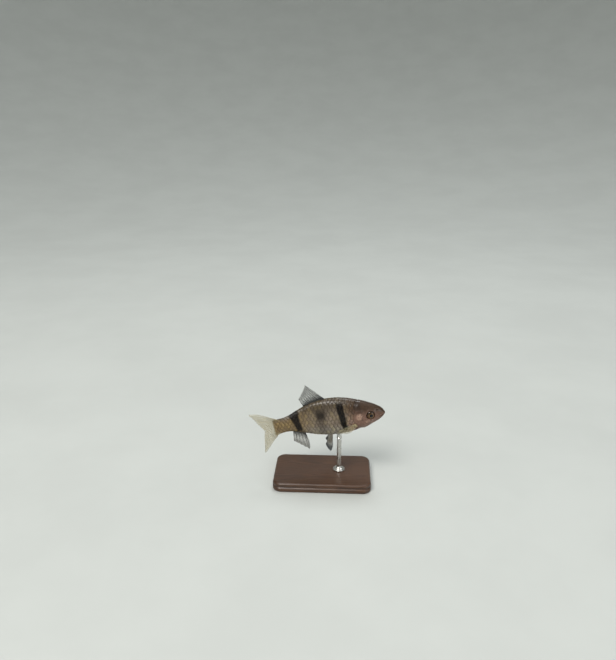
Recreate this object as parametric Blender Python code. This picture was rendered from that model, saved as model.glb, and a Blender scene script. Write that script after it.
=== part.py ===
"""A black ruby barb at life size, swimming nose up with its tail swept to its right.

One rod on a flat base holds it at the belly. The fish is laid out in standard lengths, the
distance from the snout to the root of the tail fin, along a straight spine. The spine is then
bent for the swimming stroke, scaled to real size and pitched on the stand.
"""

from collections import namedtuple
from math import cos, pi, radians, sin, tan

import bmesh
import bpy
import numpy as np

# Driving dimensions, in metres and radians.
STANDARD_LENGTH = 0.046
PITCH = radians(8.0)  # nose up
AXIS_HEIGHT = 0.029  # of the fish's middle above the floor
AXIS_FORWARD = 0.0035  # of the fish's middle from the middle of the base
GAP = 0.0003  # left between pieces that touch

BASE_LENGTH = 0.042
BASE_WIDTH = 0.027
BASE_THICKNESS = 0.004
BASE_CORNER = 0.004
BASE_BEVEL = 0.0008
ROD_RADIUS = 0.0010
ROD_FOOT_RADIUS = 0.0026
ROD_FOOT_HEIGHT = 0.0011
ROD_SIDES = 20
ROD_PLACE = 0.42  # from the snout, in standard lengths

# All that follows, down to the counts, is in standard lengths.
UNIT_GAP = GAP / STANDARD_LENGTH

# Place from the snout, height of the back, depth of the belly and half the width.
STATIONS = (
    (0.000, 0.000, 0.000, 0.000),  # snout tip
    (0.015, 0.036, 0.033, 0.031),  # lips
    (0.050, 0.066, 0.060, 0.048),  # nostrils
    (0.125, 0.105, 0.097, 0.067),  # eye
    (0.210, 0.140, 0.127, 0.080),  # nape
    (0.340, 0.181, 0.161, 0.088),  # shoulder
    (0.500, 0.198, 0.173, 0.082),  # front of the back fin
    (0.680, 0.168, 0.145, 0.061),  # vent
    (0.840, 0.102, 0.089, 0.036),  # anal fin
    (0.930, 0.073, 0.070, 0.026),  # narrowest part of the tail stem
    (1.000, 0.073, 0.071, 0.018),  # root of the tail fin
)
FULLNESS = 2.15  # 2 makes each section two half ellipses, and more makes it boxier

STROKE_FROM = 0.50  # the spine is straight as far as this
STROKE_TO = 1.30
STROKE_TURN = radians(48.0)  # of the tips of the tail fin, to the right
STROKE_RISE = 1.5  # more bends the tail fin and less the body
TWIST_FROM = 0.60
TWIST_TURN = radians(30.0)  # of the tips of the tail fin, upper edge to the left
TWIST_RISE = 1.2

GILL_PLACE = 0.280  # rearmost point of the gill edge
GILL_HEIGHT = -0.015
GILL_CURVE_ABOVE = 2.3
GILL_CURVE_BELOW = 6.5
COVER_REACH = 0.078  # of a gill cover above and below GILL_HEIGHT
COVER_WIDTH = 0.098
COVER_THICKNESS = 0.014
COVER_PROUD = 0.005
STEM_PLACE = 0.885  # where the trunk is parted from the tail stem

MOUTH_CORNER = 0.048
MOUTH_SLOPE = radians(24.0)
MOUTH_SLIT = 0.0055
MOUTH_HALF_WIDTH = 0.06
LIP_SWELL = 0.007
LIP_SPREAD = 0.014
LIP_FADE = 0.004

EYE_PLACE = 0.130
EYE_HEIGHT = 0.006
EYE_RADIUS = 0.044
EYE_DEPTH = 0.027
EYE_SIDE = 0.0485  # of the eyeball's centre from the middle plane
EYE_TURN = radians(12.0)  # forwards, with the narrowing of the snout
RIM_SWELL = 0.004
RIM_WIDTH = 0.012

NOSTRIL_PLACE = 0.064
NOSTRIL_HEIGHT = 0.048
NOSTRIL_RADIUS = 0.0075

# Rays are counted from a fin's front or outer edge. Lengths are those of its first, longest and
# last ray, crown is the longest one's share of the way, and fall shapes the edge behind it.
Fin = namedtuple("Fin", "rays rows start end first longest last crown fall thick cup")
DORSAL = Fin(11, 9, 0.540, 0.742, 0.115, 0.208, 0.078, 0.12, 0.80, 0.021, 0.000)
ANAL = Fin(8, 8, 0.755, 0.872, 0.085, 0.175, 0.090, 0.18, 0.80, 0.021, 0.000)
TAIL_UPPER = Fin(10, 10, 0.066, 0.005, 0.185, 0.272, 0.138, 0.12, 0.60, 0.024, 0.000)
TAIL_LOWER = Fin(9, 10, 0.064, 0.005, 0.178, 0.258, 0.138, 0.12, 0.60, 0.024, 0.000)
PELVIC = Fin(9, 7, 0.502, 0.530, 0.100, 0.155, 0.100, 0.20, 1.20, 0.020, 0.006)
PECTORAL = Fin(12, 7, -20.0, -35.0, 0.120, 0.190, 0.080, 0.18, 1.10, 0.020, 0.008)
DORSAL_SLANT = (46.0, 64.0)  # degrees from the body's axis, for the first ray and the last
ANAL_SLANT = (-104.0, -84.0)
TAIL_SLANT = (33.0, 0.8)
PELVIC_WAY = ((-0.12, 0.30, -0.94), (-0.52, 0.20, -0.82))  # forwards, outwards and up
PECTORAL_WAY = ((-0.89, 0.44, -0.04), (-0.78, 0.36, -0.50))
PELVIC_TURN = -66.0  # degrees round the body from the side
PECTORAL_BEHIND = 0.020  # behind the gill edge
TIP_TAPER = 0.5  # of a fin's thickness, lost between its root and its edge
WEB_THICKNESS = 0.78  # of a ray's
WEB_LENGTH = 0.965

COLUMNS = 44  # round the body, a multiple of 4
HEAD_RINGS = 22
HEAD_CROWDING = 1.45  # of the rings towards the snout tip
TRUNK_RINGS = 15
STEM_RINGS = 5


def spline(knots, values, at):
    """Natural cubic spline through values at knots."""
    step = np.diff(knots)
    slope = np.diff(values) / step
    count = len(knots)
    matrix = np.eye(count)
    right = np.zeros(count)
    for i in range(1, count - 1):
        matrix[i, i - 1 : i + 2] = step[i - 1], 2 * (step[i - 1] + step[i]), step[i]
        right[i] = 6 * (slope[i] - slope[i - 1])
    bend = np.linalg.solve(matrix, right)
    i = np.clip(np.searchsorted(knots, at) - 1, 0, count - 2)
    ahead, behind = at - knots[i], knots[i + 1] - at
    cubic = (bend[i] * behind**3 + bend[i + 1] * ahead**3) / (6 * step[i])
    first = (values[i] / step[i] - bend[i] * step[i] / 6) * behind
    last = (values[i + 1] / step[i] - bend[i + 1] * step[i] / 6) * ahead
    return cubic + first + last


def body_sizes(place):
    """Back, belly and half width at a place. The spline runs over its square root: a round snout."""
    table = np.array(STATIONS)
    knots = np.sqrt(table[:, 0])
    at = np.sqrt(np.clip(place, 0.0, 1.0))
    return [spline(knots, table[:, k], at) for k in (1, 2, 3)]


def power(value, exponent):
    return np.sign(value) * np.abs(value) ** exponent


def section(place, turn):
    """Point of the plain body: a superellipse of its own height above and below the axis."""
    back, belly, half = body_sizes(place)
    side = half * power(np.cos(turn), 2 / FULLNESS)
    height = np.where(np.sin(turn) > 0, back, belly) * power(np.sin(turn), 2 / FULLNESS)
    return np.stack([-place, side, height], axis=-1)


def flank(place, height):
    """Half the body's width at a place and height: the section's equation solved for the side."""
    back, belly, half = body_sizes(place)
    share = np.clip(np.abs(height) / np.where(height > 0, back, belly), 0, 0.999)
    return half * (1 - share**FULLNESS) ** (1 / FULLNESS)


def mouth_height(place):
    """The line where the lips meet, which falls straight from the snout tip to the corner."""
    return -place * tan(MOUTH_SLOPE)


def relief(points):
    """How far the skin stands out from the plain body: the lips and the rims of the eyes."""
    place, height = -points[..., 0], points[..., 2]
    lips = np.exp(-(((height - mouth_height(place)) / LIP_SPREAD) ** 2))
    lips /= 1 + np.exp((place - MOUTH_CORNER) / LIP_FADE)
    from_eye = np.hypot(place - EYE_PLACE, height - EYE_HEIGHT) - EYE_RADIUS
    rim = np.exp(-((from_eye / RIM_WIDTH) ** 2)) * (np.abs(points[..., 1]) > EYE_SIDE / 2)
    return LIP_SWELL * lips + RIM_SWELL * rim


def skin(place, turn, swell=0.0):
    """The body with its relief, moved out along the surface's own normal."""
    step = 1e-4
    here = section(place, turn)
    along = section(place + step, turn) - here
    around = section(place, turn + step) - here
    normal = np.cross(along, around)
    normal /= np.linalg.norm(normal, axis=-1, keepdims=True) + 1e-12
    return here + normal * (relief(here) + swell)[..., None]


def gill_edge(height):
    """Place of the gill edge: two parabolas that meet at its rearmost point."""
    above = height - GILL_HEIGHT
    return GILL_PLACE - np.where(above > 0, GILL_CURVE_ABOVE, GILL_CURVE_BELOW) * above**2


def place_at_gill(turn):
    """Place where each line along the body crosses the gill edge, by repeated substitution."""
    place = np.full_like(turn, GILL_PLACE)
    for _ in range(60):
        place = gill_edge(section(place, turn)[..., 2])
    return place


def swim(points):
    """Twists the tail about the spine, then bends the spine, with each point kept square to it."""
    place, side, height = -points[..., 0], points[..., 1], points[..., 2]
    twisted = np.clip((place - TWIST_FROM) / (STROKE_TO - TWIST_FROM), 0, 1.2)
    twist = TWIST_TURN * twisted**TWIST_RISE
    side, height = (side * np.cos(twist) + height * np.sin(twist),
                    height * np.cos(twist) - side * np.sin(twist))
    steps = np.linspace(-0.1, 1.5, 1601)
    width = steps[1] - steps[0]
    turned = np.clip((steps - STROKE_FROM) / (STROKE_TO - STROKE_FROM), 0, 1.2)
    turn = STROKE_TURN * turned**STROKE_RISE
    middle = (turn[1:] + turn[:-1]) / 2
    back = steps[0] + np.concatenate([[0], np.cumsum(np.cos(middle) * width)])
    right = np.concatenate([[0], np.cumsum(np.sin(middle) * width)])
    angle = np.interp(place, steps, turn)
    x = -np.interp(place, steps, back) - side * np.sin(angle)
    y = -np.interp(place, steps, right) + side * np.cos(angle)
    return np.stack([x, y, height], axis=-1)


def to_metres(points):
    """From standard lengths behind the snout to metres from the fish's middle."""
    moved = swim(np.asarray(points, float))
    moved[..., 0] += 0.5
    return moved * STANDARD_LENGTH


def material(name, colour, roughness, metallic=0.0):
    made = bpy.data.materials.new(name)
    made.use_nodes = True
    shader = made.node_tree.nodes["Principled BSDF"]
    shader.inputs["Base Color"].default_value = (*colour, 1.0)
    shader.inputs["Roughness"].default_value = roughness
    shader.inputs["Metallic"].default_value = metallic
    return made


def finished(name, shape, finish, parent=None, sharp=40.0):
    """Makes an object of a bmesh, with its faces turned outwards."""
    bmesh.ops.recalc_face_normals(shape, faces=shape.faces)
    mesh = bpy.data.meshes.new(name)
    shape.to_mesh(mesh)
    shape.free()
    mesh.shade_smooth()
    mesh.set_sharp_from_angle(angle=radians(sharp))
    mesh.materials.append(finish)
    made = bpy.data.objects.new(name, mesh)
    bpy.context.collection.objects.link(made)
    made.parent = parent
    return made


def flesh_piece(name, points, faces, finish, parent):
    """An object of points in standard lengths, bent and scaled with the fish."""
    shape = bmesh.new()
    corners = [shape.verts.new(point) for point in to_metres(points)]
    for face in faces:
        shape.faces.new([corners[i] for i in face])
    return finished(name, shape, finish, parent)


def cut(target, cutters):
    """Cuts each guide from the target. A guide isn't part of the model."""
    for cutter in cutters:
        cutter.hide_render = True
        cutter.display_type = "WIRE"
        change = target.modifiers.new("cut_" + cutter.name, "BOOLEAN")
        change.operation = "DIFFERENCE"
        change.solver = "EXACT"
        change.object = cutter


def ring_faces(rings, columns, first=0):
    """Triangles between rings of points that go round the body."""
    faces = []
    for i in range(rings - 1):
        for j in range(columns):
            a = first + i * columns + j
            b = first + i * columns + (j + 1) % columns
            faces += [(a, b, b + columns), (a, b + columns, a + columns)]
    return faces


def cap_faces(start, columns):
    """Closes a ring by joining its left and right points at each height."""
    faces = []
    quarter = columns // 4
    for j in range(quarter, -quarter, -1):
        left, left_low = start + j % columns, start + (j - 1) % columns
        right = start + (columns // 2 - j) % columns
        right_low = start + (columns // 2 - j + 1) % columns
        if left != right:
            faces.append((left, left_low, right))
        if left_low != right_low:
            faces.append((left_low, right_low, right))
    return faces


def sheet_faces(rows, columns):
    """Triangles of a closed slab: two faces split alike, and a strip round the edge."""
    faces = []
    other = rows * columns
    for i in range(rows - 1):
        for j in range(columns - 1):
            a, b = i * columns + j, i * columns + j + 1
            c, d = a + columns, b + columns
            faces += [(a, b, d), (a, d, c)]
            faces += [(other + a, other + d, other + b), (other + a, other + c, other + d)]
    edge = [j for j in range(columns)]
    edge += [i * columns + columns - 1 for i in range(1, rows)]
    edge += [(rows - 1) * columns + j for j in range(columns - 2, -1, -1)]
    edge += [i * columns for i in range(rows - 2, 0, -1)]
    for a, b in zip(edge, edge[1:] + edge[:1]):
        faces += [(a, other + b, b), (a, other + a, other + b)]
    return faces


def body_length(name, front, rear, rings, finish, parent, swell=0.0):
    """A closed length of the body between two edges, each given as a place for each column."""
    turn = np.arange(COLUMNS) * 2 * pi / COLUMNS
    share = np.linspace(0, 1, rings)[:, None]
    place = front * (1 - share) + rear * share
    points = skin(place, np.broadcast_to(turn, place.shape), swell).reshape(-1, 3)
    faces = ring_faces(rings, COLUMNS)
    faces += cap_faces(0, COLUMNS) + cap_faces((rings - 1) * COLUMNS, COLUMNS)
    return flesh_piece(name, points, faces, finish, parent)


def head_solid(finish, parent):
    """The head back to the gill edge, on rings that crowd towards the snout tip."""
    turn = np.arange(COLUMNS) * 2 * pi / COLUMNS
    share = (np.arange(1, HEAD_RINGS + 1)[:, None] / HEAD_RINGS) ** HEAD_CROWDING
    place = share * place_at_gill(turn)
    points = skin(place, np.broadcast_to(turn, place.shape)).reshape(-1, 3)
    faces = [(0, 1 + (j + 1) % COLUMNS, 1 + j) for j in range(COLUMNS)]
    faces += ring_faces(HEAD_RINGS, COLUMNS, first=1)
    faces += cap_faces(1 + (HEAD_RINGS - 1) * COLUMNS, COLUMNS)
    tip = [(LIP_SWELL, 0.0, 0.0)]
    return flesh_piece("head", np.vstack([tip, points]), faces, finish, parent)


def ball(name, centre, radii, turn, finish, parent, rings=10, columns=18):
    """An ellipsoid with its poles to the sides, turned about the vertical."""
    angle = np.linspace(0, pi, rings + 1)[1:-1, None]
    around = np.arange(columns) * 2 * pi / columns
    x, z = np.sin(angle) * np.cos(around), np.sin(angle) * np.sin(around)
    y = np.broadcast_to(np.cos(angle), x.shape)
    grid = np.stack([x, y, z], axis=-1).reshape(-1, 3)
    points = np.vstack([[(0, 1, 0)], grid, [(0, -1, 0)]]) * radii
    x = points[:, 0] * cos(turn) - points[:, 1] * sin(turn)
    y = points[:, 0] * sin(turn) + points[:, 1] * cos(turn)
    points = np.stack([x, y, points[:, 2]], axis=-1) + centre
    last = len(points) - 1
    start = last - columns
    faces = [(0, 1 + j, 1 + (j + 1) % columns) for j in range(columns)]
    faces += ring_faces(rings - 1, columns, first=1)
    faces += [(last, start + (j + 1) % columns, start + j) for j in range(columns)]
    return flesh_piece(name, points, faces, finish, parent)


def eye(name, side, finish, parent, margin=0.0):
    radii = (EYE_RADIUS + margin, EYE_DEPTH + margin, EYE_RADIUS + margin)
    centre = (-EYE_PLACE, side * EYE_SIDE, EYE_HEIGHT)
    return ball(name, centre, radii, -side * EYE_TURN, finish, parent)


def nostril(name, side, finish, parent):
    out = float(flank(np.array(NOSTRIL_PLACE), np.array(NOSTRIL_HEIGHT)))
    centre = (-NOSTRIL_PLACE, side * out, NOSTRIL_HEIGHT)
    radii = (NOSTRIL_RADIUS * 1.3, NOSTRIL_RADIUS, NOSTRIL_RADIUS)
    return ball(name, centre, radii, 0.0, finish, parent, rings=6, columns=10)


def mouth_blade(finish, parent):
    """A thin plate along the line of the lips, wider than the snout."""
    corners = []
    for place in (-MOUTH_HALF_WIDTH, MOUTH_CORNER):
        for side in (-MOUTH_HALF_WIDTH, MOUTH_HALF_WIDTH):
            for edge in (-MOUTH_SLIT / 2, MOUTH_SLIT / 2):
                corners.append((-place, side, mouth_height(place) + edge))
    faces = [(0, 1, 3, 2), (4, 6, 7, 5), (0, 4, 5, 1), (2, 3, 7, 6), (0, 2, 6, 4), (1, 5, 7, 3)]
    return flesh_piece("mouth_blade", corners, faces, finish, parent)


def gill_cover(name, side, finish, parent, margin=0.0, behind=0.0, outer=0.0):
    """A plate on the cheek that ends at the gill edge. With margins it is the plate's bed."""
    rows, columns = 12, 8
    reach = COVER_REACH + margin
    up = np.linspace(-1, 1, rows)[:, None]
    height = GILL_HEIGHT + reach * up
    chord = (COVER_WIDTH + margin) * (1 - 0.96 * np.abs(up) ** 2.6) ** 0.55
    share = np.linspace(0, 1, columns)
    rear = gill_edge(height)
    place = rear - chord + share * (chord + behind)
    height = np.broadcast_to(height, place.shape)
    swell = COVER_PROUD * np.sin(np.clip(share / 0.7, 0, 1) * pi / 2)
    out = flank(place, height) + swell
    points = [np.stack([-place, side * at, height], axis=-1).reshape(-1, 3)
              for at in (out + outer, out - COVER_THICKNESS - margin)]
    return flesh_piece(name, np.vstack(points), sheet_faces(rows, columns), finish, parent)


def head(finish, parent):
    """The head with its mouth, nostrils, eye sockets and the beds of the gill covers cut in."""
    made = head_solid(finish, parent)
    cutters = [mouth_blade(finish, parent)]
    for side, word in ((1, "left"), (-1, "right")):
        cutters.append(eye("socket_" + word, side, finish, parent, margin=UNIT_GAP))
        cutters.append(nostril("nostril_" + word, side, finish, parent))
        cutters.append(gill_cover("bed_" + word, side, finish, parent, margin=UNIT_GAP,
                                  behind=0.03, outer=0.03))
    cut(made, cutters)
    return made


def between(first, last, share):
    return first + (last - first) * share


def slant(degrees):
    """A way that points back at 0 and straight up at 90 degrees."""
    return np.array([-cos(radians(degrees)), 0.0, sin(radians(degrees))])


def ray_length(plan, share):
    """Rises from the first ray to the longest, then falls to the last."""
    if share < plan.crown:
        return between(plan.first, plan.longest, sin(share / plan.crown * pi / 2))
    return between(plan.longest, plan.last, ((share - plan.crown) / (1 - plan.crown)) ** plan.fall)


def fin(name, plan, root, way, finish, parent):
    """A webbed fan of rays: root and way give each ray's start and direction for its share.

    Each ray is a ridge of the web's own surface. The web is thinner than the rays and ends a
    little short of them. Cup bends the two outer edges to the same side.
    """
    across = np.linspace(0, 1, 2 * plan.rays - 1)
    along = np.linspace(0, 1, plan.rows)[:, None]
    is_ray = np.arange(len(across)) % 2 == 0
    roots = np.array([root(share) for share in across])
    ways = np.array([way(share) for share in across])
    ways /= np.linalg.norm(ways, axis=1, keepdims=True)
    lengths = np.array([ray_length(plan, share) for share in across])
    lengths *= np.where(is_ray, 1.0, WEB_LENGTH)
    middle = roots + along[..., None] * lengths[:, None] * ways
    normal = np.cross(np.gradient(middle, axis=0), np.gradient(middle, axis=1))
    normal /= np.linalg.norm(normal, axis=-1, keepdims=True)
    middle = middle + normal * (plan.cup * along**2 * (2 * across - 1) ** 2)[..., None]
    thick = plan.thick * (1 - TIP_TAPER * along**1.6) * np.where(is_ray, 1.0, WEB_THICKNESS)
    points = [(middle + normal * thick[..., None] * half).reshape(-1, 3) for half in (0.5, -0.5)]
    faces = sheet_faces(plan.rows, len(across))
    return flesh_piece(name, np.vstack(points), faces, finish, parent)


def median_fin(name, plan, slants, up, finish, parent):
    """A fin along the middle of the back, for up of 1, or of the belly, for up of -1."""

    def root(share):
        place = between(plan.start, plan.end, share)
        edge = body_sizes(np.array(place))[0 if up > 0 else 1]
        return -place, 0.0, up * (edge + UNIT_GAP)

    def way(share):
        return slant(between(*slants, share))

    return fin(name, plan, root, way, finish, parent)


def tail_lobe(name, plan, up, finish, parent):
    """Half of the forked tail fin, from its long outer rays to the short one by the fork."""

    def root(share):
        return -1.0 - UNIT_GAP, 0.0, up * between(plan.start, plan.end, share)

    def way(share):
        return slant(up * between(*TAIL_SLANT, share))

    return fin(name, plan, root, way, finish, parent)


def paired_fin(name, plan, side, place, turn, ways, finish, parent):
    """A fin that grows from the side of the body, rooted just clear of the skin."""

    def root(share):
        at = skin(place(share), turn(share), UNIT_GAP + plan.thick / 2)[0]
        return at[0], side * at[1], at[2]

    def way(share):
        forwards, out, up = between(np.array(ways[0]), np.array(ways[1]), share)
        return forwards, side * out, up

    return fin(name, plan, root, way, finish, parent)


def pelvic_fin(name, side, finish, parent):
    def place(share):
        return np.array([between(PELVIC.start, PELVIC.end, share)])

    def turn(share):
        return np.array([radians(PELVIC_TURN)])

    return paired_fin(name, PELVIC, side, place, turn, PELVIC_WAY, finish, parent)


def pectoral_fin(name, side, finish, parent):
    def turn(share):
        return np.array([radians(between(PECTORAL.start, PECTORAL.end, share))])

    def place(share):
        return place_at_gill(turn(share)) + PECTORAL_BEHIND

    return paired_fin(name, PECTORAL, side, place, turn, PECTORAL_WAY, finish, parent)


def stand_base(finish):
    """A flat slab with round corners and a bevelled rim, resting on the floor."""
    shape = bmesh.new()
    outline = []
    for quarter, (right, far) in enumerate(((1, 1), (-1, 1), (-1, -1), (1, -1))):
        x = right * (BASE_LENGTH / 2 - BASE_CORNER)
        y = far * (BASE_WIDTH / 2 - BASE_CORNER)
        for angle in np.linspace(quarter, quarter + 1, 7) * pi / 2:
            corner = (x + BASE_CORNER * cos(angle), y + BASE_CORNER * sin(angle), 0.0)
            outline.append(shape.verts.new(corner))
    raised = bmesh.ops.extrude_face_region(shape, geom=[shape.faces.new(outline)])
    top = [part for part in raised["geom"] if isinstance(part, bmesh.types.BMVert)]
    bmesh.ops.translate(shape, verts=top, vec=(0, 0, BASE_THICKNESS))
    made = finished("stand_base", shape, finish)
    rim = made.modifiers.new("rim", "BEVEL")
    rim.width = BASE_BEVEL
    rim.segments = 2
    rim.limit_method = "ANGLE"
    rim.angle_limit = radians(60)
    return made


def stand_rod(finish, fish):
    """A turned rod with a wide foot. Its top is cut to the belly, just clear of it."""
    foot = BASE_THICKNESS + GAP
    profile = ((0, foot),
               (ROD_FOOT_RADIUS, foot),
               (ROD_FOOT_RADIUS, foot + ROD_FOOT_HEIGHT * 0.6),
               (ROD_FOOT_RADIUS * 0.8, foot + ROD_FOOT_HEIGHT),
               (ROD_RADIUS, foot + ROD_FOOT_HEIGHT * 1.35),
               (ROD_RADIUS, AXIS_HEIGHT),
               (0, AXIS_HEIGHT))
    shape = bmesh.new()
    line = [shape.verts.new((radius, 0, height)) for radius, height in profile]
    edges = [shape.edges.new(pair) for pair in zip(line, line[1:])]
    bmesh.ops.spin(shape, geom=line + edges, cent=(0, 0, 0), axis=(0, 0, 1), angle=2 * pi,
                   steps=ROD_SIDES, use_merge=True)
    bmesh.ops.remove_doubles(shape, verts=shape.verts, dist=1e-6)
    made = finished("stand_rod", shape, finish, sharp=30.0)
    made.location = (AXIS_FORWARD + (0.5 - ROD_PLACE) * STANDARD_LENGTH, 0, 0)
    edge = np.ones(COLUMNS)
    belly = body_length("belly_guide", edge * 0.32, edge * 0.56, 14, finish, fish, UNIT_GAP)
    cut(made, [belly])
    return made


def main():
    for old in list(bpy.data.objects):
        bpy.data.objects.remove(old)
    flesh = material("flesh", (0.34, 0.25, 0.17), 0.38)
    stem_flesh = material("stem_flesh", (0.42, 0.33, 0.17), 0.38)
    face = material("face", (0.45, 0.25, 0.19), 0.32)
    clear_web = material("clear_web", (0.55, 0.55, 0.42), 0.35)
    dark_web = material("dark_web", (0.05, 0.055, 0.05), 0.4)
    eyeball = material("eyeball", (0.09, 0.06, 0.04), 0.1)
    wood = material("wood", (0.10, 0.055, 0.03), 0.45)
    steel = material("steel", (0.62, 0.62, 0.60), 0.3, metallic=1.0)

    fish = bpy.data.objects.new("fish_pose", None)
    bpy.context.collection.objects.link(fish)
    fish.location = (AXIS_FORWARD, 0, AXIS_HEIGHT)
    fish.rotation_euler = (0, -PITCH, 0)

    turn = np.arange(COLUMNS) * 2 * pi / COLUMNS
    column = np.ones(COLUMNS)
    trunk_front = place_at_gill(turn) + 1.2 * UNIT_GAP
    head(face, fish)
    body_length("trunk", trunk_front, column * STEM_PLACE, TRUNK_RINGS, flesh, fish)
    body_length("tail_stem", column * (STEM_PLACE + UNIT_GAP), column, STEM_RINGS, stem_flesh, fish)
    median_fin("dorsal_fin", DORSAL, DORSAL_SLANT, 1, dark_web, fish)
    median_fin("anal_fin", ANAL, ANAL_SLANT, -1, clear_web, fish)
    tail_lobe("tail_fin_upper", TAIL_UPPER, 1, clear_web, fish)
    tail_lobe("tail_fin_lower", TAIL_LOWER, -1, clear_web, fish)
    for side, word in ((1, "left"), (-1, "right")):
        gill_cover("gill_cover_" + word, side, face, fish)
        eye("eye_" + word, side, eyeball, fish)
        pectoral_fin("pectoral_fin_" + word, side, clear_web, fish)
        pelvic_fin("pelvic_fin_" + word, side, dark_web, fish)
    stand_base(wood)
    stand_rod(steel, fish)


main()
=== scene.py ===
"""Looks of a life-size black ruby barb on a display stand, built around its packed solids.

The fish is laid out in standard lengths, the distance from the snout to the root of the tail
fin, along a straight spine: place runs back from the snout, side to its left and height up.
The spine is then bent for the swimming stroke, scaled and pitched on the stand, as the solids
are. A turn of 0 points to the fish's left round the body, and a quarter turn to its back.
"""

from collections import namedtuple
from functools import reduce
from math import cos, pi, radians, sin, tan

import bpy
import numpy as np
from bpy.props import FloatProperty, FloatVectorProperty, PointerProperty
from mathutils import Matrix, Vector


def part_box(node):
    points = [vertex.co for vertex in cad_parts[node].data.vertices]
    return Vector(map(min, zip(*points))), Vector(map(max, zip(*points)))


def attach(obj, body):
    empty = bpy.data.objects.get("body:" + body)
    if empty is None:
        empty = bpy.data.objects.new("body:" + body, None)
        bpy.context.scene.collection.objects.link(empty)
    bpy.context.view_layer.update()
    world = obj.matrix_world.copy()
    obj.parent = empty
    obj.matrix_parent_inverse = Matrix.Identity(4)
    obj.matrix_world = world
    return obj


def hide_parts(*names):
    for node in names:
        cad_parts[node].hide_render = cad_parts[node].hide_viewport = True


bl_info = {
    "name": "Black Ruby Barb Model",
    "version": (1, 0, 0),
    "blender": (4, 5, 0),
    "location": "3D View > Sidebar > Barb",
    "description": "Builds the skin, scales, fins, eyes and stand of a life-size display fish",
    "category": "Add Mesh",
}

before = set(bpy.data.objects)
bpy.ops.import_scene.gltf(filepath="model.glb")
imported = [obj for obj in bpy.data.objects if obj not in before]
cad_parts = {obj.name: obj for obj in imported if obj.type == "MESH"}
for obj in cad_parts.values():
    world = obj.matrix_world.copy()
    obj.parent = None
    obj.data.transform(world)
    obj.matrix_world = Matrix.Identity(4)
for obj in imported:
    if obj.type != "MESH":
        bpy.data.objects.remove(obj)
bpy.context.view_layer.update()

# The solids' own sizes. Place from the snout, height of the back, depth of the belly, half width.
STATIONS = (
    (0.000, 0.000, 0.000, 0.000),  # snout tip
    (0.015, 0.036, 0.033, 0.031),  # lips
    (0.050, 0.066, 0.060, 0.048),  # nostrils
    (0.125, 0.105, 0.097, 0.067),  # eye
    (0.210, 0.140, 0.127, 0.080),  # nape
    (0.340, 0.181, 0.161, 0.088),  # shoulder
    (0.500, 0.198, 0.173, 0.082),  # front of the back fin
    (0.680, 0.168, 0.145, 0.061),  # vent
    (0.840, 0.102, 0.089, 0.036),  # anal fin
    (0.930, 0.073, 0.070, 0.026),  # narrowest part of the tail stem
    (1.000, 0.073, 0.071, 0.018),  # root of the tail fin
)
FULLNESS = 2.15  # exponent of each section's superellipse
TAIL_WEDGE = 0.046  # the flesh thins over this length of the tail fin's root
STROKE_FROM, STROKE_TO, STROKE_TURN, STROKE_RISE = 0.50, 1.30, radians(48.0), 1.5
TWIST_FROM, TWIST_TURN, TWIST_RISE = 0.60, radians(30.0), 1.2
GILL_PLACE, GILL_HEIGHT = 0.280, -0.015  # rearmost point of the gill edge
GILL_CURVES = (2.3, 6.5)  # above its rearmost point and below it
MOUTH_CORNER, MOUTH_SLOPE = 0.048, radians(24.0)
LIP_SWELL, LIP_SPREAD, LIP_FADE = 0.007, 0.014, 0.004
LIP_SHARE = 0.45  # of the solids' lips that the skin keeps, under its own finer lips
EYE_PLACE, EYE_HEIGHT, EYE_SIDE, EYE_TURN = 0.130, 0.006, 0.0485, radians(12.0)
RIM_SWELL, RIM_WIDTH = 0.004, 0.012
NOSTRIL_PLACE, NOSTRIL_HEIGHT = 0.064, 0.048
SOCKET_RADIUS = 0.044


def amount(name, default, description, **kind):
    """A property for a number that a user can change, with its unit or subtype."""
    return FloatProperty(name=name, default=default, description=description, **kind)


def metres(name, default, description):
    return amount(name, default, description, unit="LENGTH")


def paint(name, default, description):
    """A property for a colour that a user can change."""
    return FloatVectorProperty(
        name=name, default=default, description=description, subtype="COLOR")


class BarbSizes(bpy.types.PropertyGroup):
    """Sizes of the fish. Those without a unit are in standard lengths."""

    standard_length: metres("Standard Length", 0.046, "Snout tip to the root of the tail fin")
    pitch: amount("Pitch", radians(8.0), "How far the snout points up", subtype="ANGLE")
    forward: metres("Forward", 0.0035, "The fish's middle ahead of the middle of the base")
    lift: metres("Lift", 0.029, "The fish's middle above the floor")
    coat_depth: amount("Coat Depth", 0.0045, "How deep the skin lies under the scales' surface")
    scale_step: amount("Scale Step", 0.0018, "How far a scale stands above the one behind it")
    scale_thickness: amount("Scale Thickness", 0.0011, "Thickness of one scale")
    eye_radius: amount("Eye Radius", 0.0425, "Radius of the eyeball in side view")
    eye_depth: amount("Eye Depth", 0.027, "Half the eyeball's thickness from side to side")
    mouth_depth: amount("Mouth Depth", 0.0075, "Depth of the groove where the lips meet")
    gill_step: amount("Gill Step", 0.006, "How far the gill cover stands out")


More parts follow.
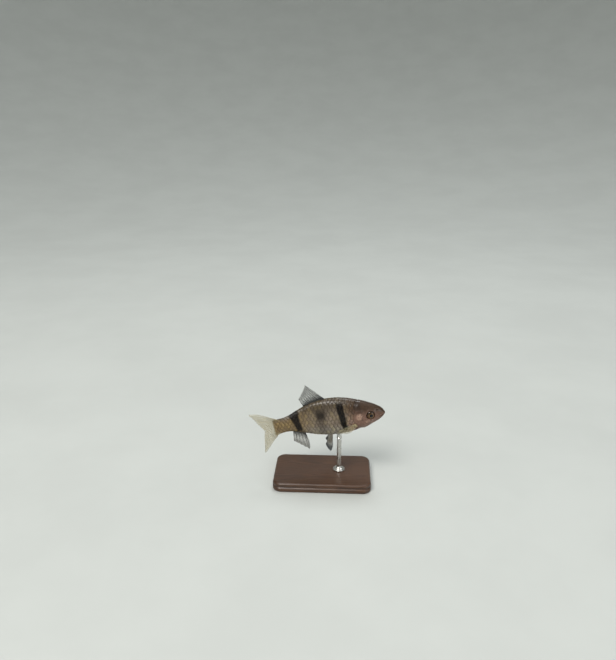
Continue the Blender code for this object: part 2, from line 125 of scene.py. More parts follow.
class BarbColours(bpy.types.PropertyGroup):
    """Colours of the fish."""

    back: paint("Back", (0.078, 0.058, 0.036), "Upper edge of the body and top of the head")
    flank: paint("Flank", (0.222, 0.172, 0.124), "Middle of the side")
    belly: paint("Belly", (0.330, 0.300, 0.250), "Lower edge of the body")
    rear: paint("Rear Flank", (0.212, 0.148, 0.074), "Side of the tail stem")
    head: paint("Head", (0.190, 0.100, 0.072), "Cheek and gill cover")
    crown: paint("Crown", (0.050, 0.027, 0.015), "Dark brown of muzzle, forehead and nape")
    # Glint is a painted highlight on the gill cover, together with the skin's pale pearly sheen
    # there, on the cheek and behind the gill cover.
    glint: paint("Glint", (0.500, 0.320, 0.240), "Pale sheen on the gill cover and behind it")
    bar: paint("Bars", (0.0022, 0.0016, 0.0020), "The dark bars across the side")
    iris: paint("Iris", (0.150, 0.078, 0.030), "Ring round the pupil")
    smoky_web: paint("Smoky Web", (0.100, 0.102, 0.088), "Web of the back fin")
    clear_web: paint("Clear Web", (0.430, 0.400, 0.250), "Web of the tail and breast fins")


class BarbStand(bpy.types.PropertyGroup):
    """Sizes and colours of the display stand."""

    length: metres("Base Length", 0.042, "Along the fish")
    width: metres("Base Width", 0.027, "Across the fish")
    thickness: metres("Base Thickness", 0.004, "Height of the base")
    corner: metres("Corner Radius", 0.004, "Radius of the base's corners seen from above")
    rod_radius: metres("Rod Radius", 0.0010, "Radius of the rod")
    rod_place: amount("Rod Place", 0.42, "Under the fish, in standard lengths from the snout")
    wood: paint("Wood", (0.075, 0.034, 0.016), "Stained wood of the base")
    grain: paint("Grain", (0.028, 0.012, 0.007), "Dark grain of the base")
    metal: paint("Metal", (0.62, 0.61, 0.58), "Turned metal of the rod")


class BarbStage(bpy.types.PropertyGroup):
    """Floor, light and camera."""

    floor: paint("Floor", (0.50, 0.52, 0.50), "Pale floor and backdrop")
    camera_place: FloatVectorProperty(
        name="Camera Place", subtype="TRANSLATION", unit="LENGTH",
        default=(0.0072, -0.2594, 0.1501), description="Where the camera stands")
    azimuth: amount("Azimuth", radians(3.0), "How far the camera stands round to the fish's head",
                    subtype="ANGLE")
    dip: amount("Dip", radians(17.5), "How far the camera looks down", subtype="ANGLE")
    lens: amount("Lens", 36.0, "Focal length in millimetres", min=1.0)
    key_power: amount("Key Light", 11.0, "Power of the main soft light", unit="POWER")


def spline(knots, values, at):
    """Natural cubic spline through values at knots."""
    step = np.diff(knots)
    slope = np.diff(values) / step
    count = len(knots)
    matrix = np.eye(count)
    right = np.zeros(count)
    for i in range(1, count - 1):
        matrix[i, i - 1 : i + 2] = step[i - 1], 2 * (step[i - 1] + step[i]), step[i]
        right[i] = 6 * (slope[i] - slope[i - 1])
    bend = np.linalg.solve(matrix, right)
    i = np.clip(np.searchsorted(knots, at) - 1, 0, count - 2)
    ahead, behind = at - knots[i], knots[i + 1] - at
    cubic = (bend[i] * behind**3 + bend[i + 1] * ahead**3) / (6 * step[i])
    first = (values[i] / step[i] - bend[i] * step[i] / 6) * behind
    last = (values[i + 1] / step[i] - bend[i + 1] * step[i] / 6) * ahead
    return cubic + first + last


def smooth(value, low, high):
    """0 below low, 1 above high, and 3t² - 2t³ of the share t between them."""
    t = np.clip((value - low) / (high - low), 0, 1)
    return t * t * (3 - 2 * t)


def between(first, last, share):
    return first + (last - first) * share


def bump(value, centre, width):
    """The bell curve e to the minus ((value - centre) / width)²."""
    return np.exp(-(((value - centre) / width) ** 2))


def body_sizes(place):
    """Back, belly and half width at a place. The spline runs over its square root: a round snout.

    Past the root of the tail fin the half width falls faster and faster, to a thin edge.
    """
    table = np.array(STATIONS)
    knots = np.sqrt(table[:, 0])
    at = np.sqrt(np.clip(place, 0.0, 1.0))
    back, belly, half = [spline(knots, table[:, k], at) for k in (1, 2, 3)]
    past = np.clip((place - 1.0) / TAIL_WEDGE, 0, 1)
    return back, belly, half * (1 - 0.91 * past**1.4)


def power(value, exponent):
    return np.sign(value) * np.abs(value) ** exponent


def section(place, turn):
    """Point of the plain body: a superellipse of its own height above and below the axis."""
    back, belly, half = body_sizes(place)
    side = half * power(np.cos(turn), 2 / FULLNESS)
    height = np.where(np.sin(turn) > 0, back, belly) * power(np.sin(turn), 2 / FULLNESS)
    return np.stack([-place + 0 * turn, side, height], axis=-1)


def normal_at(place, turn):
    """The plain body's outward normal: the cross product of small steps back and round."""
    step = 1e-4
    here = section(place, turn)
    along = here - section(np.maximum(place - step, 1e-6), turn)
    around = section(place, turn + step) - here
    normal = np.cross(along, around)
    return normal / (np.linalg.norm(normal, axis=-1, keepdims=True) + 1e-12)


def mouth_height(place):
    """The line where the lips meet, which falls straight from the snout tip to the corner."""
    return -place * tan(MOUTH_SLOPE)


def from_eye(place, height):
    """Distance in side view from the middle of the eye."""
    return np.hypot(place - EYE_PLACE, height - EYE_HEIGHT)


def relief(points):
    """How far the skin stands out from the plain body: the lips and the rims of the eyes."""
    place, height = -points[..., 0], points[..., 2]
    lips = bump(height, mouth_height(place), LIP_SPREAD)
    lips /= 1 + np.exp((place - MOUTH_CORNER) / LIP_FADE)
    rim = bump(from_eye(place, height), SOCKET_RADIUS, RIM_WIDTH)
    rim = rim * (np.abs(points[..., 1]) > EYE_SIDE / 2)
    return LIP_SHARE * LIP_SWELL * lips + RIM_SWELL * rim


def gill_edge(height, ahead=0.0, curves=GILL_CURVES):
    """Place of the gill edge, or of a line ahead of it: two parabolas that meet at the rear."""
    above = height - GILL_HEIGHT
    return GILL_PLACE - ahead - np.where(above > 0, *curves) * above**2


def place_at_gill(turn):
    """Place where each line along the body crosses the gill edge, by repeated substitution."""
    place = np.full_like(turn, GILL_PLACE)
    for _ in range(60):
        place = gill_edge(section(place, turn)[..., 2])
    return place


def swim(points):
    """Twists the tail about the spine, then bends the spine, with each point kept square to it."""
    place, side, height = -points[..., 0], points[..., 1], points[..., 2]
    twisted = np.clip((place - TWIST_FROM) / (STROKE_TO - TWIST_FROM), 0, 1.2)
    twist = TWIST_TURN * twisted**TWIST_RISE
    side, height = (side * np.cos(twist) + height * np.sin(twist),
                    height * np.cos(twist) - side * np.sin(twist))
    steps = np.linspace(-0.1, 1.5, 1601)
    turned = np.clip((steps - STROKE_FROM) / (STROKE_TO - STROKE_FROM), 0, 1.2)
    turn = STROKE_TURN * turned**STROKE_RISE
    middle = (turn[1:] + turn[:-1]) / 2
    back, right = (np.concatenate([[0], np.cumsum(x * np.diff(steps))])
                   for x in (np.cos(middle), np.sin(middle)))
    angle = np.interp(place, steps, turn)
    x = -steps[0] - np.interp(place, steps, back) - side * np.sin(angle)
    y = -np.interp(place, steps, right) + side * np.cos(angle)
    return np.stack([x, y, height], axis=-1)


def placed(points, sizes):
    """From standard lengths to metres in the frame: bent, scaled, pitched and set on the rod."""
    x, y, z = np.moveaxis(swim(points), -1, 0) * sizes.standard_length
    x = x + 0.5 * sizes.standard_length
    up, level = sin(sizes.pitch), cos(sizes.pitch)
    return np.stack([x * level - z * up + sizes.forward, y, x * up + z * level + sizes.lift],
                    axis=-1)


def grid(rows, columns, first=0, wrap=False):
    """Four-sided faces between neighbouring points of a grid, round its columns if wrap is set."""
    across = np.arange(columns if wrap else columns - 1)
    a = first + np.arange(rows - 1)[:, None] * columns + across
    b = first + np.arange(rows - 1)[:, None] * columns + (across + 1) % columns
    return np.stack([a, b, b + columns, a + columns], axis=-1).reshape(-1, 4)


def fan(centre, ring):
    """Three-sided faces from one point to each pair of neighbours on a closed ring."""
    ring = np.asarray(ring)
    return np.stack([np.full_like(ring, centre), ring, np.roll(ring, -1)], axis=-1)


def new_object(name, data):
    made = bpy.data.objects.new(name, data)
    bpy.context.scene.collection.objects.link(made)
    return made


def piece(name, points, faces, finish, maps=None, values=None, replaces=()):
    """Makes a mesh object from arrays and sets it on the frame.

    faces is a list of index arrays, maps holds a UV place for each corner of each of them in
    turn, and values holds a number for each point. A shape with a negative volume is inside
    out, so the corners of its faces are taken in reverse.
    """
    signed = 0.0
    for group in faces:
        a, b, c = (points[group[:, k]] for k in (0, 1, 2))
        signed += np.einsum("ij,ij->i", a, np.cross(b, c)).sum()
        if group.shape[1] == 4:
            signed += np.einsum("ij,ij->i", a, np.cross(c, points[group[:, 3]])).sum()
    order = slice(None) if signed > 0 else slice(None, None, -1)
    corners = np.concatenate([group[:, order].ravel() for group in faces])
    totals = np.concatenate([np.full(len(group), group.shape[1]) for group in faces])
    mesh = bpy.data.meshes.new(name)
    mesh.vertices.add(len(points))
    mesh.vertices.foreach_set("co", points.astype(np.float32).ravel())
    mesh.loops.add(len(corners))
    mesh.loops.foreach_set("vertex_index", corners.astype(np.int32))
    mesh.polygons.add(len(totals))
    mesh.polygons.foreach_set("loop_start", np.cumsum(totals) - totals)
    mesh.polygons.foreach_set("loop_total", totals)
    for title, groups in (maps or {}).items():
        layer = mesh.uv_layers.new(name=title)
        spread = np.concatenate([group[:, order].reshape(-1, 2) for group in groups])
        layer.uv.foreach_set("vector", spread.astype(np.float32).ravel())
    for title, numbers in (values or {}).items():
        layer = mesh.attributes.new(title, "FLOAT", "POINT")
        layer.data.foreach_set("value", np.asarray(numbers, np.float32).ravel())
    mesh.update(calc_edges=True)
    mesh.validate()
    mesh.shade_smooth()
    mesh.materials.append(finish)
    made = new_object(name, mesh)
    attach(made, "root")
    if replaces:
        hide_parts(*replaces)
    return made


def corner_map(places, faces, wrap=False):
    """The place on a map of each face's corners. A face across the seam is kept in one piece."""
    found = []
    for group in faces:
        uv = places[group]
        if wrap:
            across = np.ptp(uv[..., 1], axis=1)[:, None] > 0.5
            uv = uv.copy()
            uv[..., 1] += across & (uv[..., 1] < 0.5)
        found.append(uv)
    return found


def titled(inputs):
    """Inputs whose names are written with underscores, by the names of their sockets."""
    return {key.replace("_", " "): value for key, value in inputs.items()}


class Value:
    """What a node puts out. Arithmetic on it adds Math nodes to its tree."""

    def __init__(self, tree, socket):
        self.tree, self.socket = tree, socket

    def math(self, operation, other=0.0, clamp=False):
        return self.tree.out("Math", {0: self, 1: other}, operation=operation, use_clamp=clamp)

    def __add__(self, other):
        return self.math("ADD", other)

    def __sub__(self, other):
        return self.math("SUBTRACT", other)

    def __mul__(self, other):
        return self.math("MULTIPLY", other)

    def __truediv__(self, other):
        return self.math("DIVIDE", other)

    def __pow__(self, other):
        return self.math("POWER", other)

    def most(self, other):
        """The greater of the two."""
        return self.math("MAXIMUM", other)

    def angle_from(self, across):
        """The angle whose tangent is this value over the one across."""
        return self.math("ARCTAN2", across)

    def ramp(self, low, high, start=0.0, end=1.0, kind="SMOOTHSTEP"):
        """Smoothly from start, where the value is low, to end, where it is high."""
        return self.tree.out("MapRange", {"Value": self, 1: low, 2: high, 3: start, 4: end},
                             interpolation_type=kind)

    def split(self):
        """The parts of a vector or a colour."""
        parts = self.tree.add("SeparateXYZ", {0: self}).outputs
        return [Value(self.tree, part) for part in parts]

    def stretched(self, *stretch):
        """A vector with each axis multiplied, through a Mapping node."""
        return self.tree.out("Mapping", {"Vector": self, "Scale": stretch})

    def noise(self, scale, detail, rough, output="Fac"):
        """Noise at the place that a vector gives."""
        return self.tree.out("TexNoise", {"Vector": self, "Scale": scale, "Detail": detail,
                                          "Roughness": rough}, output)

    def bump(self, strength, distance):
        """The normal of a surface with this value for its height."""
        return self.tree.out("Bump", {"Height": self, "Strength": strength,
                                      "Distance": distance})


class Tree:
    """The node tree of a material or a shader group, with ways to add nodes to it."""

    def __init__(self, tree):
        self.tree = tree

    def feed(self, node, inputs):
        """Links each Value to an input by name or number, and sets each number or colour."""
        for key, value in inputs.items():
            socket = node.inputs[key]
            if isinstance(value, Value):
                self.tree.links.new(value.socket, socket)
            else:
                socket.default_value = (*value, 1.0) if socket.type == "RGBA" else value

    def add(self, kind, inputs, **settings):
        node = self.tree.nodes.new("ShaderNode" + kind)
        for name, value in settings.items():
            setattr(node, name, value)
        self.feed(node, inputs)
        return node

    def out(self, kind, inputs, output=0, **settings):
        """One output of a new node."""
        return Value(self, self.add(kind, inputs, **settings).outputs[output])

    def point(self):
        """Object coordinates."""
        return self.out("TexCoord", {}, "Object")

    def held(self, name):
        """The number that a piece holds for each point under a name."""
        return self.out("Attribute", {}, "Fac", attribute_name=name)

    def at(self, name):
        """Both coordinates on one of a piece's UV maps."""
        return self.out("UVMap", {}, uv_map=name).split()[:2]

    def mix(self, share, first, second, blend="MIX"):
        """A colour between first and second."""
        return self.out("Mix", {0: share, 6: first, 7: second}, 2, data_type="RGBA",
                        blend_type=blend)

    def shaded(self, colour, shade, blue=None):
        """A colour times a shade, with another one for its blue if given."""
        parts = self.out("CombineColor", {0: shade, 1: shade, 2: shade if blue is None else blue})
        return self.mix(1.0, colour, parts, "MULTIPLY")

    def group(self, name, build, **inputs):
        """The outputs of a shader group by name. The group is built on its first use."""
        made = bpy.data.node_groups.get(name) or build(name)
        node = self.add("Group", titled(inputs), node_tree=made)
        return {socket.name: Value(self, socket) for socket in node.outputs}

    def dots(self, point, count, density):
        return self.group("Pigment Cells", speckle_group, Point=point, Count=count,
                          Density=density)["Mask"]

    def put_out(self, **outputs):
        """Gives a group its outputs, and returns the group."""
        for name, value in outputs.items():
            kind = "NodeSocketColor" if value.socket.type == "RGBA" else "NodeSocketFloat"
            self.tree.interface.new_socket(name=name, in_out="OUTPUT", socket_type=kind)
        self.feed(self.tree.nodes.new("NodeGroupOutput"), outputs)
        return self.tree

    def finish(self, **inputs):
        """Feeds a material's own Principled shader."""
        self.feed(self.tree.nodes["Principled BSDF"], titled(inputs))


def new_group(name, numbers, colours=()):
    """The Tree of a new shader group, and its inputs: Point, numbers by default, and colours."""
    made = bpy.data.node_groups.new(name, "ShaderNodeTree")
    kinds = {"Point": "Vector", **dict.fromkeys(numbers, "Float"), **dict.fromkeys(colours, "Color")}
    for title, kind in kinds.items():
        socket = made.interface.new_socket(name=title, socket_type="NodeSocket" + kind)
        if title in numbers:
            socket.default_value = numbers[title]
    tree = Tree(made)
    start = made.nodes.new("NodeGroupInput").outputs
    return tree, {title: Value(tree, start[title]) for title in kinds}


def new_material(name, **constants):
    """A material and its Tree, with numbers set on the Principled shader's own sockets."""
    made = bpy.data.materials.new(name)
    made.use_nodes = True
    tree = Tree(made.node_tree)
    tree.finish(**constants)
    return made, tree


# Bars: place at the axis, lean back with height, half width, widening with height, softness,
# height of the lower and upper ends, softness of the ends, and strength.
Bar = namedtuple("Bar", "centre lean half widen soft low high ends strength")
BARS = (
    Bar(0.388, 0.130, 0.0275, 0.030, 0.0085, -0.122, 0.158, 0.022, 1.00),  # shoulder
    Bar(0.590, 0.040, 0.0430, 0.110, 0.0270, 0.000, 0.108, 0.050, 0.90),  # middle, above
    Bar(0.598, 0.050, 0.0460, 0.060, 0.0300, -0.120, 0.105, 0.045, 0.46),  # middle, below
    Bar(0.826, 0.270, 0.0370, 0.110, 0.0110, -0.086, 0.140, 0.016, 0.98),  # tail stem
    Bar(0.226, 0.150, 0.0240, 0.040, 0.0200, 0.055, 0.150, 0.030, 0.45),  # nape
)
# Glints: pale patches mixed into the base colour, on the gill cover a painted highlight over its
# pearly sheen, on the cheek and behind the gill cover the skin's own pale sheen. Place and
# height, half length and half height, and strength.
Glint = namedtuple("Glint", "place height long tall strength")
GLINTS = (
    Glint(0.232, 0.012, 0.030, 0.034, 0.85),  # gill cover
    Glint(0.165, -0.045, 0.030, 0.020, 0.35),  # cheek
    Glint(0.318, -0.075, 0.030, 0.080, 0.80),  # behind the gill cover
)
MARKED = ("Back", "Flank", "Belly", "Rear", "Head", "Crown", "Glint", "Bar")


def markings_group(name):
    """Colour of the fish at a place and height, from smooth ramps and bars with noisy edges.

    Belly, flank and back follow one another with the share of the height. The rear flank, the
    head and its dark crown and muzzle are mixed in along the body, then the pale glints, which
    are painted highlight and pearly sheen, then the bars over them all.
    """
    tree, start = new_group(name, {"Place": 0.5, "Height": 0.0, "Rise": 0.0}, MARKED)
    place, height = start["Place"], start["Height"]
    blotch = start["Point"].noise(260.0, 3.0, 0.6)
    fleck = start["Point"].noise(1500.0, 2.0, 0.6)
    wander = (blotch - 0.5) * 0.030

    lifted = start["Rise"] + wander * 6.0
    colour = tree.mix(lifted.ramp(-0.80, -0.10), start["Belly"], start["Flank"])
    colour = tree.mix(lifted.ramp(0.12, 0.88), colour, start["Back"])
    toward_tail = place.ramp(0.60, 0.86) * lifted.ramp(0.98, 0.40)
    colour = tree.mix(toward_tail, colour, start["Rear"])
    on_head = place.ramp(0.40, 0.24) * lifted.ramp(0.92, 0.35)
    colour = tree.mix(on_head * 0.92, colour, start["Head"])
    crown = place.ramp(0.40, 0.28) * lifted.ramp(-0.08, 0.64)
    muzzle = place.ramp(0.15, 0.02) * height.ramp(-0.09, 0.04)
    colour = tree.mix(crown.most(muzzle * 0.75) * 0.90, colour, start["Crown"])
    for glint in GLINTS:
        along = (place - glint.place) / glint.long
        over = (height - glint.height) / glint.tall
        share = (along**2.0 + over**2.0).ramp(1.5, 0.0, 0.0, glint.strength)
        colour = tree.mix(share * fleck.ramp(0.25, 0.60), colour, start["Glint"])
    dapple = fleck.ramp(0.30, 0.70, 0.80, 1.16) * blotch.ramp(0.30, 0.70, 0.88, 1.10)
    colour = tree.shaded(colour, dapple)

    bars = []
    for bar in BARS:
        off = (place + wander) - (height * bar.lean + bar.centre)
        past = off.math("ABSOLUTE") - (height * bar.widen + bar.half)
        lower = height.ramp(bar.low - bar.ends, bar.low + bar.ends)
        upper = height.ramp(bar.high + bar.ends, bar.high - bar.ends)
        bars.append(past.ramp(bar.soft, -bar.soft, 0.0, bar.strength) * (lower * upper))
    darkest = reduce(Value.most, bars)
    return tree.put_out(Color=tree.mix(darkest, colour, start["Bar"]), Bar=darkest)


def film_group(name):
    """Wet film: soft unevenness of the surface, and roughness that wanders with it."""
    tree, start = new_group(name, {"Grain": 2600.0, "Low": 0.2, "High": 0.4})
    fine = start["Point"].noise(start["Grain"], 3.0, 0.6)
    both = fine * 0.45 + start["Point"].noise(420.0, 2.0, 0.5) * 0.55
    return tree.put_out(Roughness=both.ramp(0.3, 0.7, start["Low"], start["High"], "LINEAR"),
                        Height=fine)


def speckle_group(name):
    """Pigment cells: small dark dots at random places, in clouds, more of them by Density."""
    tree, start = new_group(name, {"Count": 3000.0, "Density": 0.5})
    cells = tree.add("TexVoronoi", {"Vector": start["Point"], "Scale": start["Count"]})
    first, second, _ = Value(tree, cells.outputs["Color"]).split()
    cloud = start["Point"].noise(520.0, 3.0, 0.6).ramp(0.30, 0.70, 0.35, 1.45)
    chosen = first.math("LESS_THAN", start["Density"] * cloud)
    size = second.ramp(0.0, 1.0, 0.34, 0.62)
    spot = (Value(tree, cells.outputs["Distance"]) / size).ramp(1.0, 0.35)
    return tree.put_out(Mask=chosen * spot)


def body_colour(tree, colours, point):
    """The markings' colour and bars, for a piece that has the map Body and the value rise."""
    place, height = tree.at("Body")
    made = tree.group("Barb Markings", markings_group, Place=place, Height=height - 0.5,
                      Rise=tree.held("rise"), Point=point,
                      **{name: getattr(colours, name.lower()) for name in MARKED})
    return made["Color"], made["Bar"]


def skin_material(colours):
    """Bare skin: the markings, painted shade in the mouth, nostrils and gill slits, under a wet
    film.

    Fine lines fan out over the gill cover from its upper front corner: a sine of the angle
    about that point, bent by noise.
    """
    made, tree = new_material(
        "wet_skin", Coat_Weight=0.38, Coat_Roughness=0.13, IOR=1.38, Specular_IOR_Level=0.32)
    point, rise, plate = tree.point(), tree.held("rise"), tree.held("plate")
    colour, bar = body_colour(tree, colours, point)
    dots = tree.dots(point, 8200.0, 0.62)
    colour = tree.mix(dots * rise.ramp(-0.55, 0.60, 0.16, 0.74), colour, (0.018, 0.012, 0.008))
    # Painted shade: the colour is darkened to near black in the mouth, nostrils, gill slits, eye
    # sockets, cheek seams and pores.
    colour = tree.mix(tree.held("painted_shade").ramp(0.10, 0.80), colour, (0.020, 0.008, 0.006))
    film = tree.group("Wet Film", film_group, Point=point, Grain=2600.0, Low=0.26, High=0.46)
    place, height = tree.at("Body")
    turned = (height - 0.555).angle_from(place - 0.208)
    lines = (turned * 62.0 + point.noise(700.0, 2.0, 0.5) * 9.0).math("SINE")
    pits = film["Height"] + point.noise(9000.0, 2.0, 0.5) * 0.45
    pits = (pits + lines * (plate * 0.32)) - dots * 0.08
    sheen = (rise.ramp(0.75, 0.10) * bar.ramp(0.5, 0.0)) * (plate * 0.24 + 0.08)
    tree.finish(Base_Color=colour, Roughness=film["Roughness"], Metallic=sheen,
                Normal=pits.bump(0.36, 0.00005))
    return made


def scale_material(colours):
    """Scales: the skin's markings, with fine growth ridges, a dusky rim, faint painted shade along
    the radii and a pearly middle.
    """
    made, tree = new_material("scale", Coat_Roughness=0.19, IOR=1.38, Specular_IOR_Level=0.30)
    point, rise, tint = tree.point(), tree.held("rise"), tree.held("tint")
    colour, bar = body_colour(tree, colours, point)
    back, across = tree.at("Scale")
    across = across - 0.5
    reach = (back**2.0 + across**2.0).math("SQRT")
    rings = (reach * 150.0).math("SINE")
    spoke_shade = (across.angle_from(back) * 42.0).math("SINE").ramp(0.72, 0.98)
    dotted = tree.dots(point, 9000.0, 0.6) * rise.ramp(-0.4, 0.8, 0.06, 0.50)
    dusk = tree.held("rim").ramp(0.55, 1.0, 0.0, 0.56)
    varied = tint * 0.34 + 0.83
    colour = tree.shaded(colour, varied, varied - tint.ramp(0.35, 1.0, -0.04, 0.13))
    # The dusky rim and the dots are the scales' own pigment; the faint dark lines along the radii
    # are painted shade of the scale's radial furrows.
    colour = tree.mix(dusk.most(dotted).most(spoke_shade * 0.14), colour, (0.030, 0.020, 0.012))
    film = tree.group("Wet Film", film_group, Point=point, Grain=3000.0, Low=0.24, High=0.42)
    carved = (rings + film["Height"]) * 0.5
    pearl = rise.ramp(0.85, 0.05) * bar.ramp(0.6, 0.0)
    tree.finish(Base_Color=colour, Roughness=film["Roughness"], Metallic=pearl * 0.30,
                Coat_Weight=bar.ramp(0.1, 0.8, 0.36, 0.06), Normal=carved.bump(0.34, 0.00003))
    return made


# What a fin looks like: colours of web and rays, how solid each is, how dark the root and the
# tip are, and the colour of those dark parts.
Web = namedtuple("Web", "web ray solid ray_solid root tip dark")


def web_group(name):
    """Colour and cover of a fin: solid rays, a web between them, and dusky root and tip."""
    tree, start = new_group(
        name, {"Along": 0.5, "Ray": 0.0, "Solid": 0.5, "Ray Solid": 0.9, "Root Dark": 0.0,
               "Tip Dark": 0.0}, ("Web Color", "Ray Color", "Dark Color"))
    along, ray = start["Along"], start["Ray"]
    fine = start["Point"].noise(3500.0, 2.0, 0.5)
    shifted = along + (start["Point"].noise(500.0, 3.0, 0.6) - 0.5) * 0.3
    root = shifted.ramp(0.55, 0.05) * start["Root Dark"]
    dark = root.most(shifted.ramp(0.40, 0.95) * start["Tip Dark"])
    dotted = tree.dots(start["Point"], 6000.0, 0.30) * dark.math("ADD", 0.12, clamp=True)
    colour = tree.mix(ray.ramp(0.10, 0.60), start["Web Color"], start["Ray Color"])
    colour = tree.mix(dark.most(dotted), colour, start["Dark Color"])
    cover = start["Solid"].math("ADD", dark * 0.40, clamp=True).most(dotted * 0.9)
    cover = cover.most(ray.ramp(0.05, 0.75) * start["Ray Solid"]).most(along.ramp(0.22, 0.0))
    return tree.put_out(Color=tree.shaded(colour, fine.ramp(0.25, 0.75, 0.85, 1.12)),
                        Alpha=cover, Height=fine)


def fin_material(name, web):
    """A fin's web and rays, from the map Fin and the value ray."""
    made, tree = new_material(
        name, Roughness=0.30, Coat_Weight=0.35, Coat_Roughness=0.12, IOR=1.40)
    look = tree.group(
        "Fin Web", web_group, Along=tree.at("Fin")[1], Point=tree.point(),
        Ray=tree.held("ray"), Web_Color=web.web, Ray_Color=web.ray, Dark_Color=web.dark,
        Solid=web.solid, Ray_Solid=web.ray_solid, Root_Dark=web.root, Tip_Dark=web.tip)
    tree.finish(Base_Color=look["Color"], Alpha=look["Alpha"],
                Normal=look["Height"].bump(0.25, 0.00003))
    return made


def eye_material(colours):
    """Black pupil, bright inner ring, streaked iris that is dark above, and a dark outer ring.

    The value reach is the distance from the middle of the eye as a share of its radius.
    """
    made, tree = new_material(
        "eyeball", Coat_Weight=1.0, Coat_Roughness=0.02, Coat_IOR=1.37, IOR=1.38,
        Specular_IOR_Level=0.10, Roughness=0.25)
    reach = tree.held("reach")
    across, up = tree.at("Iris")
    around = (up - 0.5).angle_from(across - 0.5)
    wheel = tree.out("CombineXYZ", {0: around * 7.0, 1: reach * 2.2})
    streak = wheel.noise(3.0, 4.0, 0.7)
    iris = tree.mix(streak.ramp(0.32, 0.68), (0.045, 0.020, 0.009), colours.iris)
    lid = (up + tree.point().noise(900.0, 3.0, 0.6) * 0.25).ramp(0.62, 0.94)
    iris = tree.mix(lid * 0.85, iris, (0.020, 0.012, 0.008))
    ring = reach.ramp(0.41, 0.44) * reach.ramp(0.50, 0.45)
    iris = tree.mix(ring * 0.66, iris, (0.44, 0.26, 0.095))
    iris = tree.mix(reach.ramp(0.80, 0.93), iris, (0.018, 0.010, 0.008))
    colour = tree.mix(reach.ramp(0.425, 0.405), iris, (0.002, 0.002, 0.003))
    shine = reach.ramp(0.42, 0.46) * reach.ramp(0.92, 0.80)
    tree.finish(Base_Color=colour, Metallic=shine * 0.55, Normal=streak.bump(0.35, 0.00004))
    return made


def wood_material(stand):
    """Stained hardwood: growth rings cut lengthwise, fine dark pores and a satin finish."""
    made, tree = new_material("stained_wood", Coat_Weight=0.12, Coat_Roughness=0.30)
    point = tree.point()
    long = point.stretched(60.0, 640.0, 640.0)
    warp = long.noise(0.16, 3.0, 0.5, "Color")
    drift = tree.out("VectorMath", {0: warp, "Scale": 11.0}, operation="SCALE")
    bent = tree.out("VectorMath", {0: long, 1: drift}, operation="ADD")
    rings = tree.out("TexWave", {"Vector": bent, "Scale": 0.62, "Distortion": 2.2,
                                 "Detail": 3.0, "Detail Scale": 0.8}, "Fac", bands_direction="Y")
    pore = point.stretched(420.0, 5200.0, 5200.0).noise(1.0, 2.0, 0.7).ramp(0.40, 0.30)
    colour = tree.mix(rings.ramp(0.25, 0.95, 0.0, 0.62), stand.wood, stand.grain)
    colour = tree.mix(pore * 0.75, colour, (0.012, 0.006, 0.004))
    cloud = point.noise(60.0, 2.0, 0.5).ramp(0.3, 0.7, 0.82, 1.18)
    dip = rings * -0.25 + pore * -1.0
    tree.finish(Base_Color=tree.shaded(colour, cloud), Normal=dip.bump(0.4, 0.00004),
                Roughness=rings.ramp(0.2, 0.9, 0.30, 0.42) + pore * 0.25)
    return made


def metal_material(stand):
    """Turned metal: fine rings round the rod, faint dull patches."""
    made, tree = new_material("turned_metal", Metallic=1.0)
    point = tree.point()
    lathe = point.stretched(300.0, 300.0, 26000.0).noise(1.0, 2.0, 0.6)
    dull = point.noise(700.0, 3.0, 0.6)
    shade = lathe.ramp(0.3, 0.7, 0.90, 1.06) * dull.ramp(0.3, 0.7, 0.86, 1.04)
    rough = lathe.ramp(0.3, 0.7, 0.20, 0.30) + dull.ramp(0.35, 0.75, 0.0, 0.14)
    tree.finish(Base_Color=tree.shaded(stand.metal, shade), Roughness=rough,
                Normal=lathe.bump(0.20, 0.00002))
    return made


def floor_material(stage):
    """Pale and matt, with faint clouds."""
    made, tree = new_material("pale_floor", Roughness=0.75)
    cloud = tree.point().noise(14.0, 4.0, 0.6).ramp(0.3, 0.7, 0.965, 1.02)
    tree.finish(Base_Color=tree.shaded(stage.floor, cloud))
    return made


SKIN_COLUMNS = 320  # round the body
HEAD_RINGS, TRUNK_RINGS, WEDGE_RINGS = 226, 58, 8
HEAD_CROWDING, TRUNK_CROWDING = 1.45, 1.7  # of the rings, towards the snout and the gill edge
SIDE_CROWDING = 0.22  # of the columns, towards the middle of each side
SLIT_DEPTH, SLIT_WIDTH = 0.0105, 0.007  # the gill slit, behind the gill edge
LIP_RISE, LIP_GROOVE, CORNER_FOLD, CORNER_PIT = 0.0018, 0.0020, 0.0018, 0.0035
NOSTRIL_RIM, NOSTRIL_FLAP, NOSTRIL_DEPTH = 0.0007, 0.0022, 0.0080
SOCKET_DEPTH, BROW_RISE, PORE_DEPTH, PLATE_RISE = 0.0240, 0.0014, 0.0011, 0.0026
GILL_LAP = (0.0020, 0.0055)  # how far back the last two rings on the gill cover are drawn
PLATE_CURVES = (1.6, 9.0)  # of the gill cover's front edge, above its middle and below it


def socket_dip(points, sizes):
    """The eye's cup: a steep wall inside the rim, down to well under the eyeball's front."""
    near = from_eye(-points[..., 0], points[..., 2])
    on_side = np.abs(points[..., 1]) > EYE_SIDE / 2
    return smooth(near, sizes.eye_radius - 0.0005, sizes.eye_radius - 0.0055) * on_side


def along_line(place, height, start, end, width):
    """A bell curve of the distance from a straight line between two points in side view."""
    way = np.subtract(end, start)
    length = np.hypot(*way)
    across = ((place - start[0]) * way[1] - (height - start[1]) * way[0]) / length
    share = ((place - start[0]) * way[0] + (height - start[1]) * way[1]) / length**2
    return bump(across, 0.0, width) * smooth(share, -0.12, 0.08) * smooth(share, 1.12, 0.92)


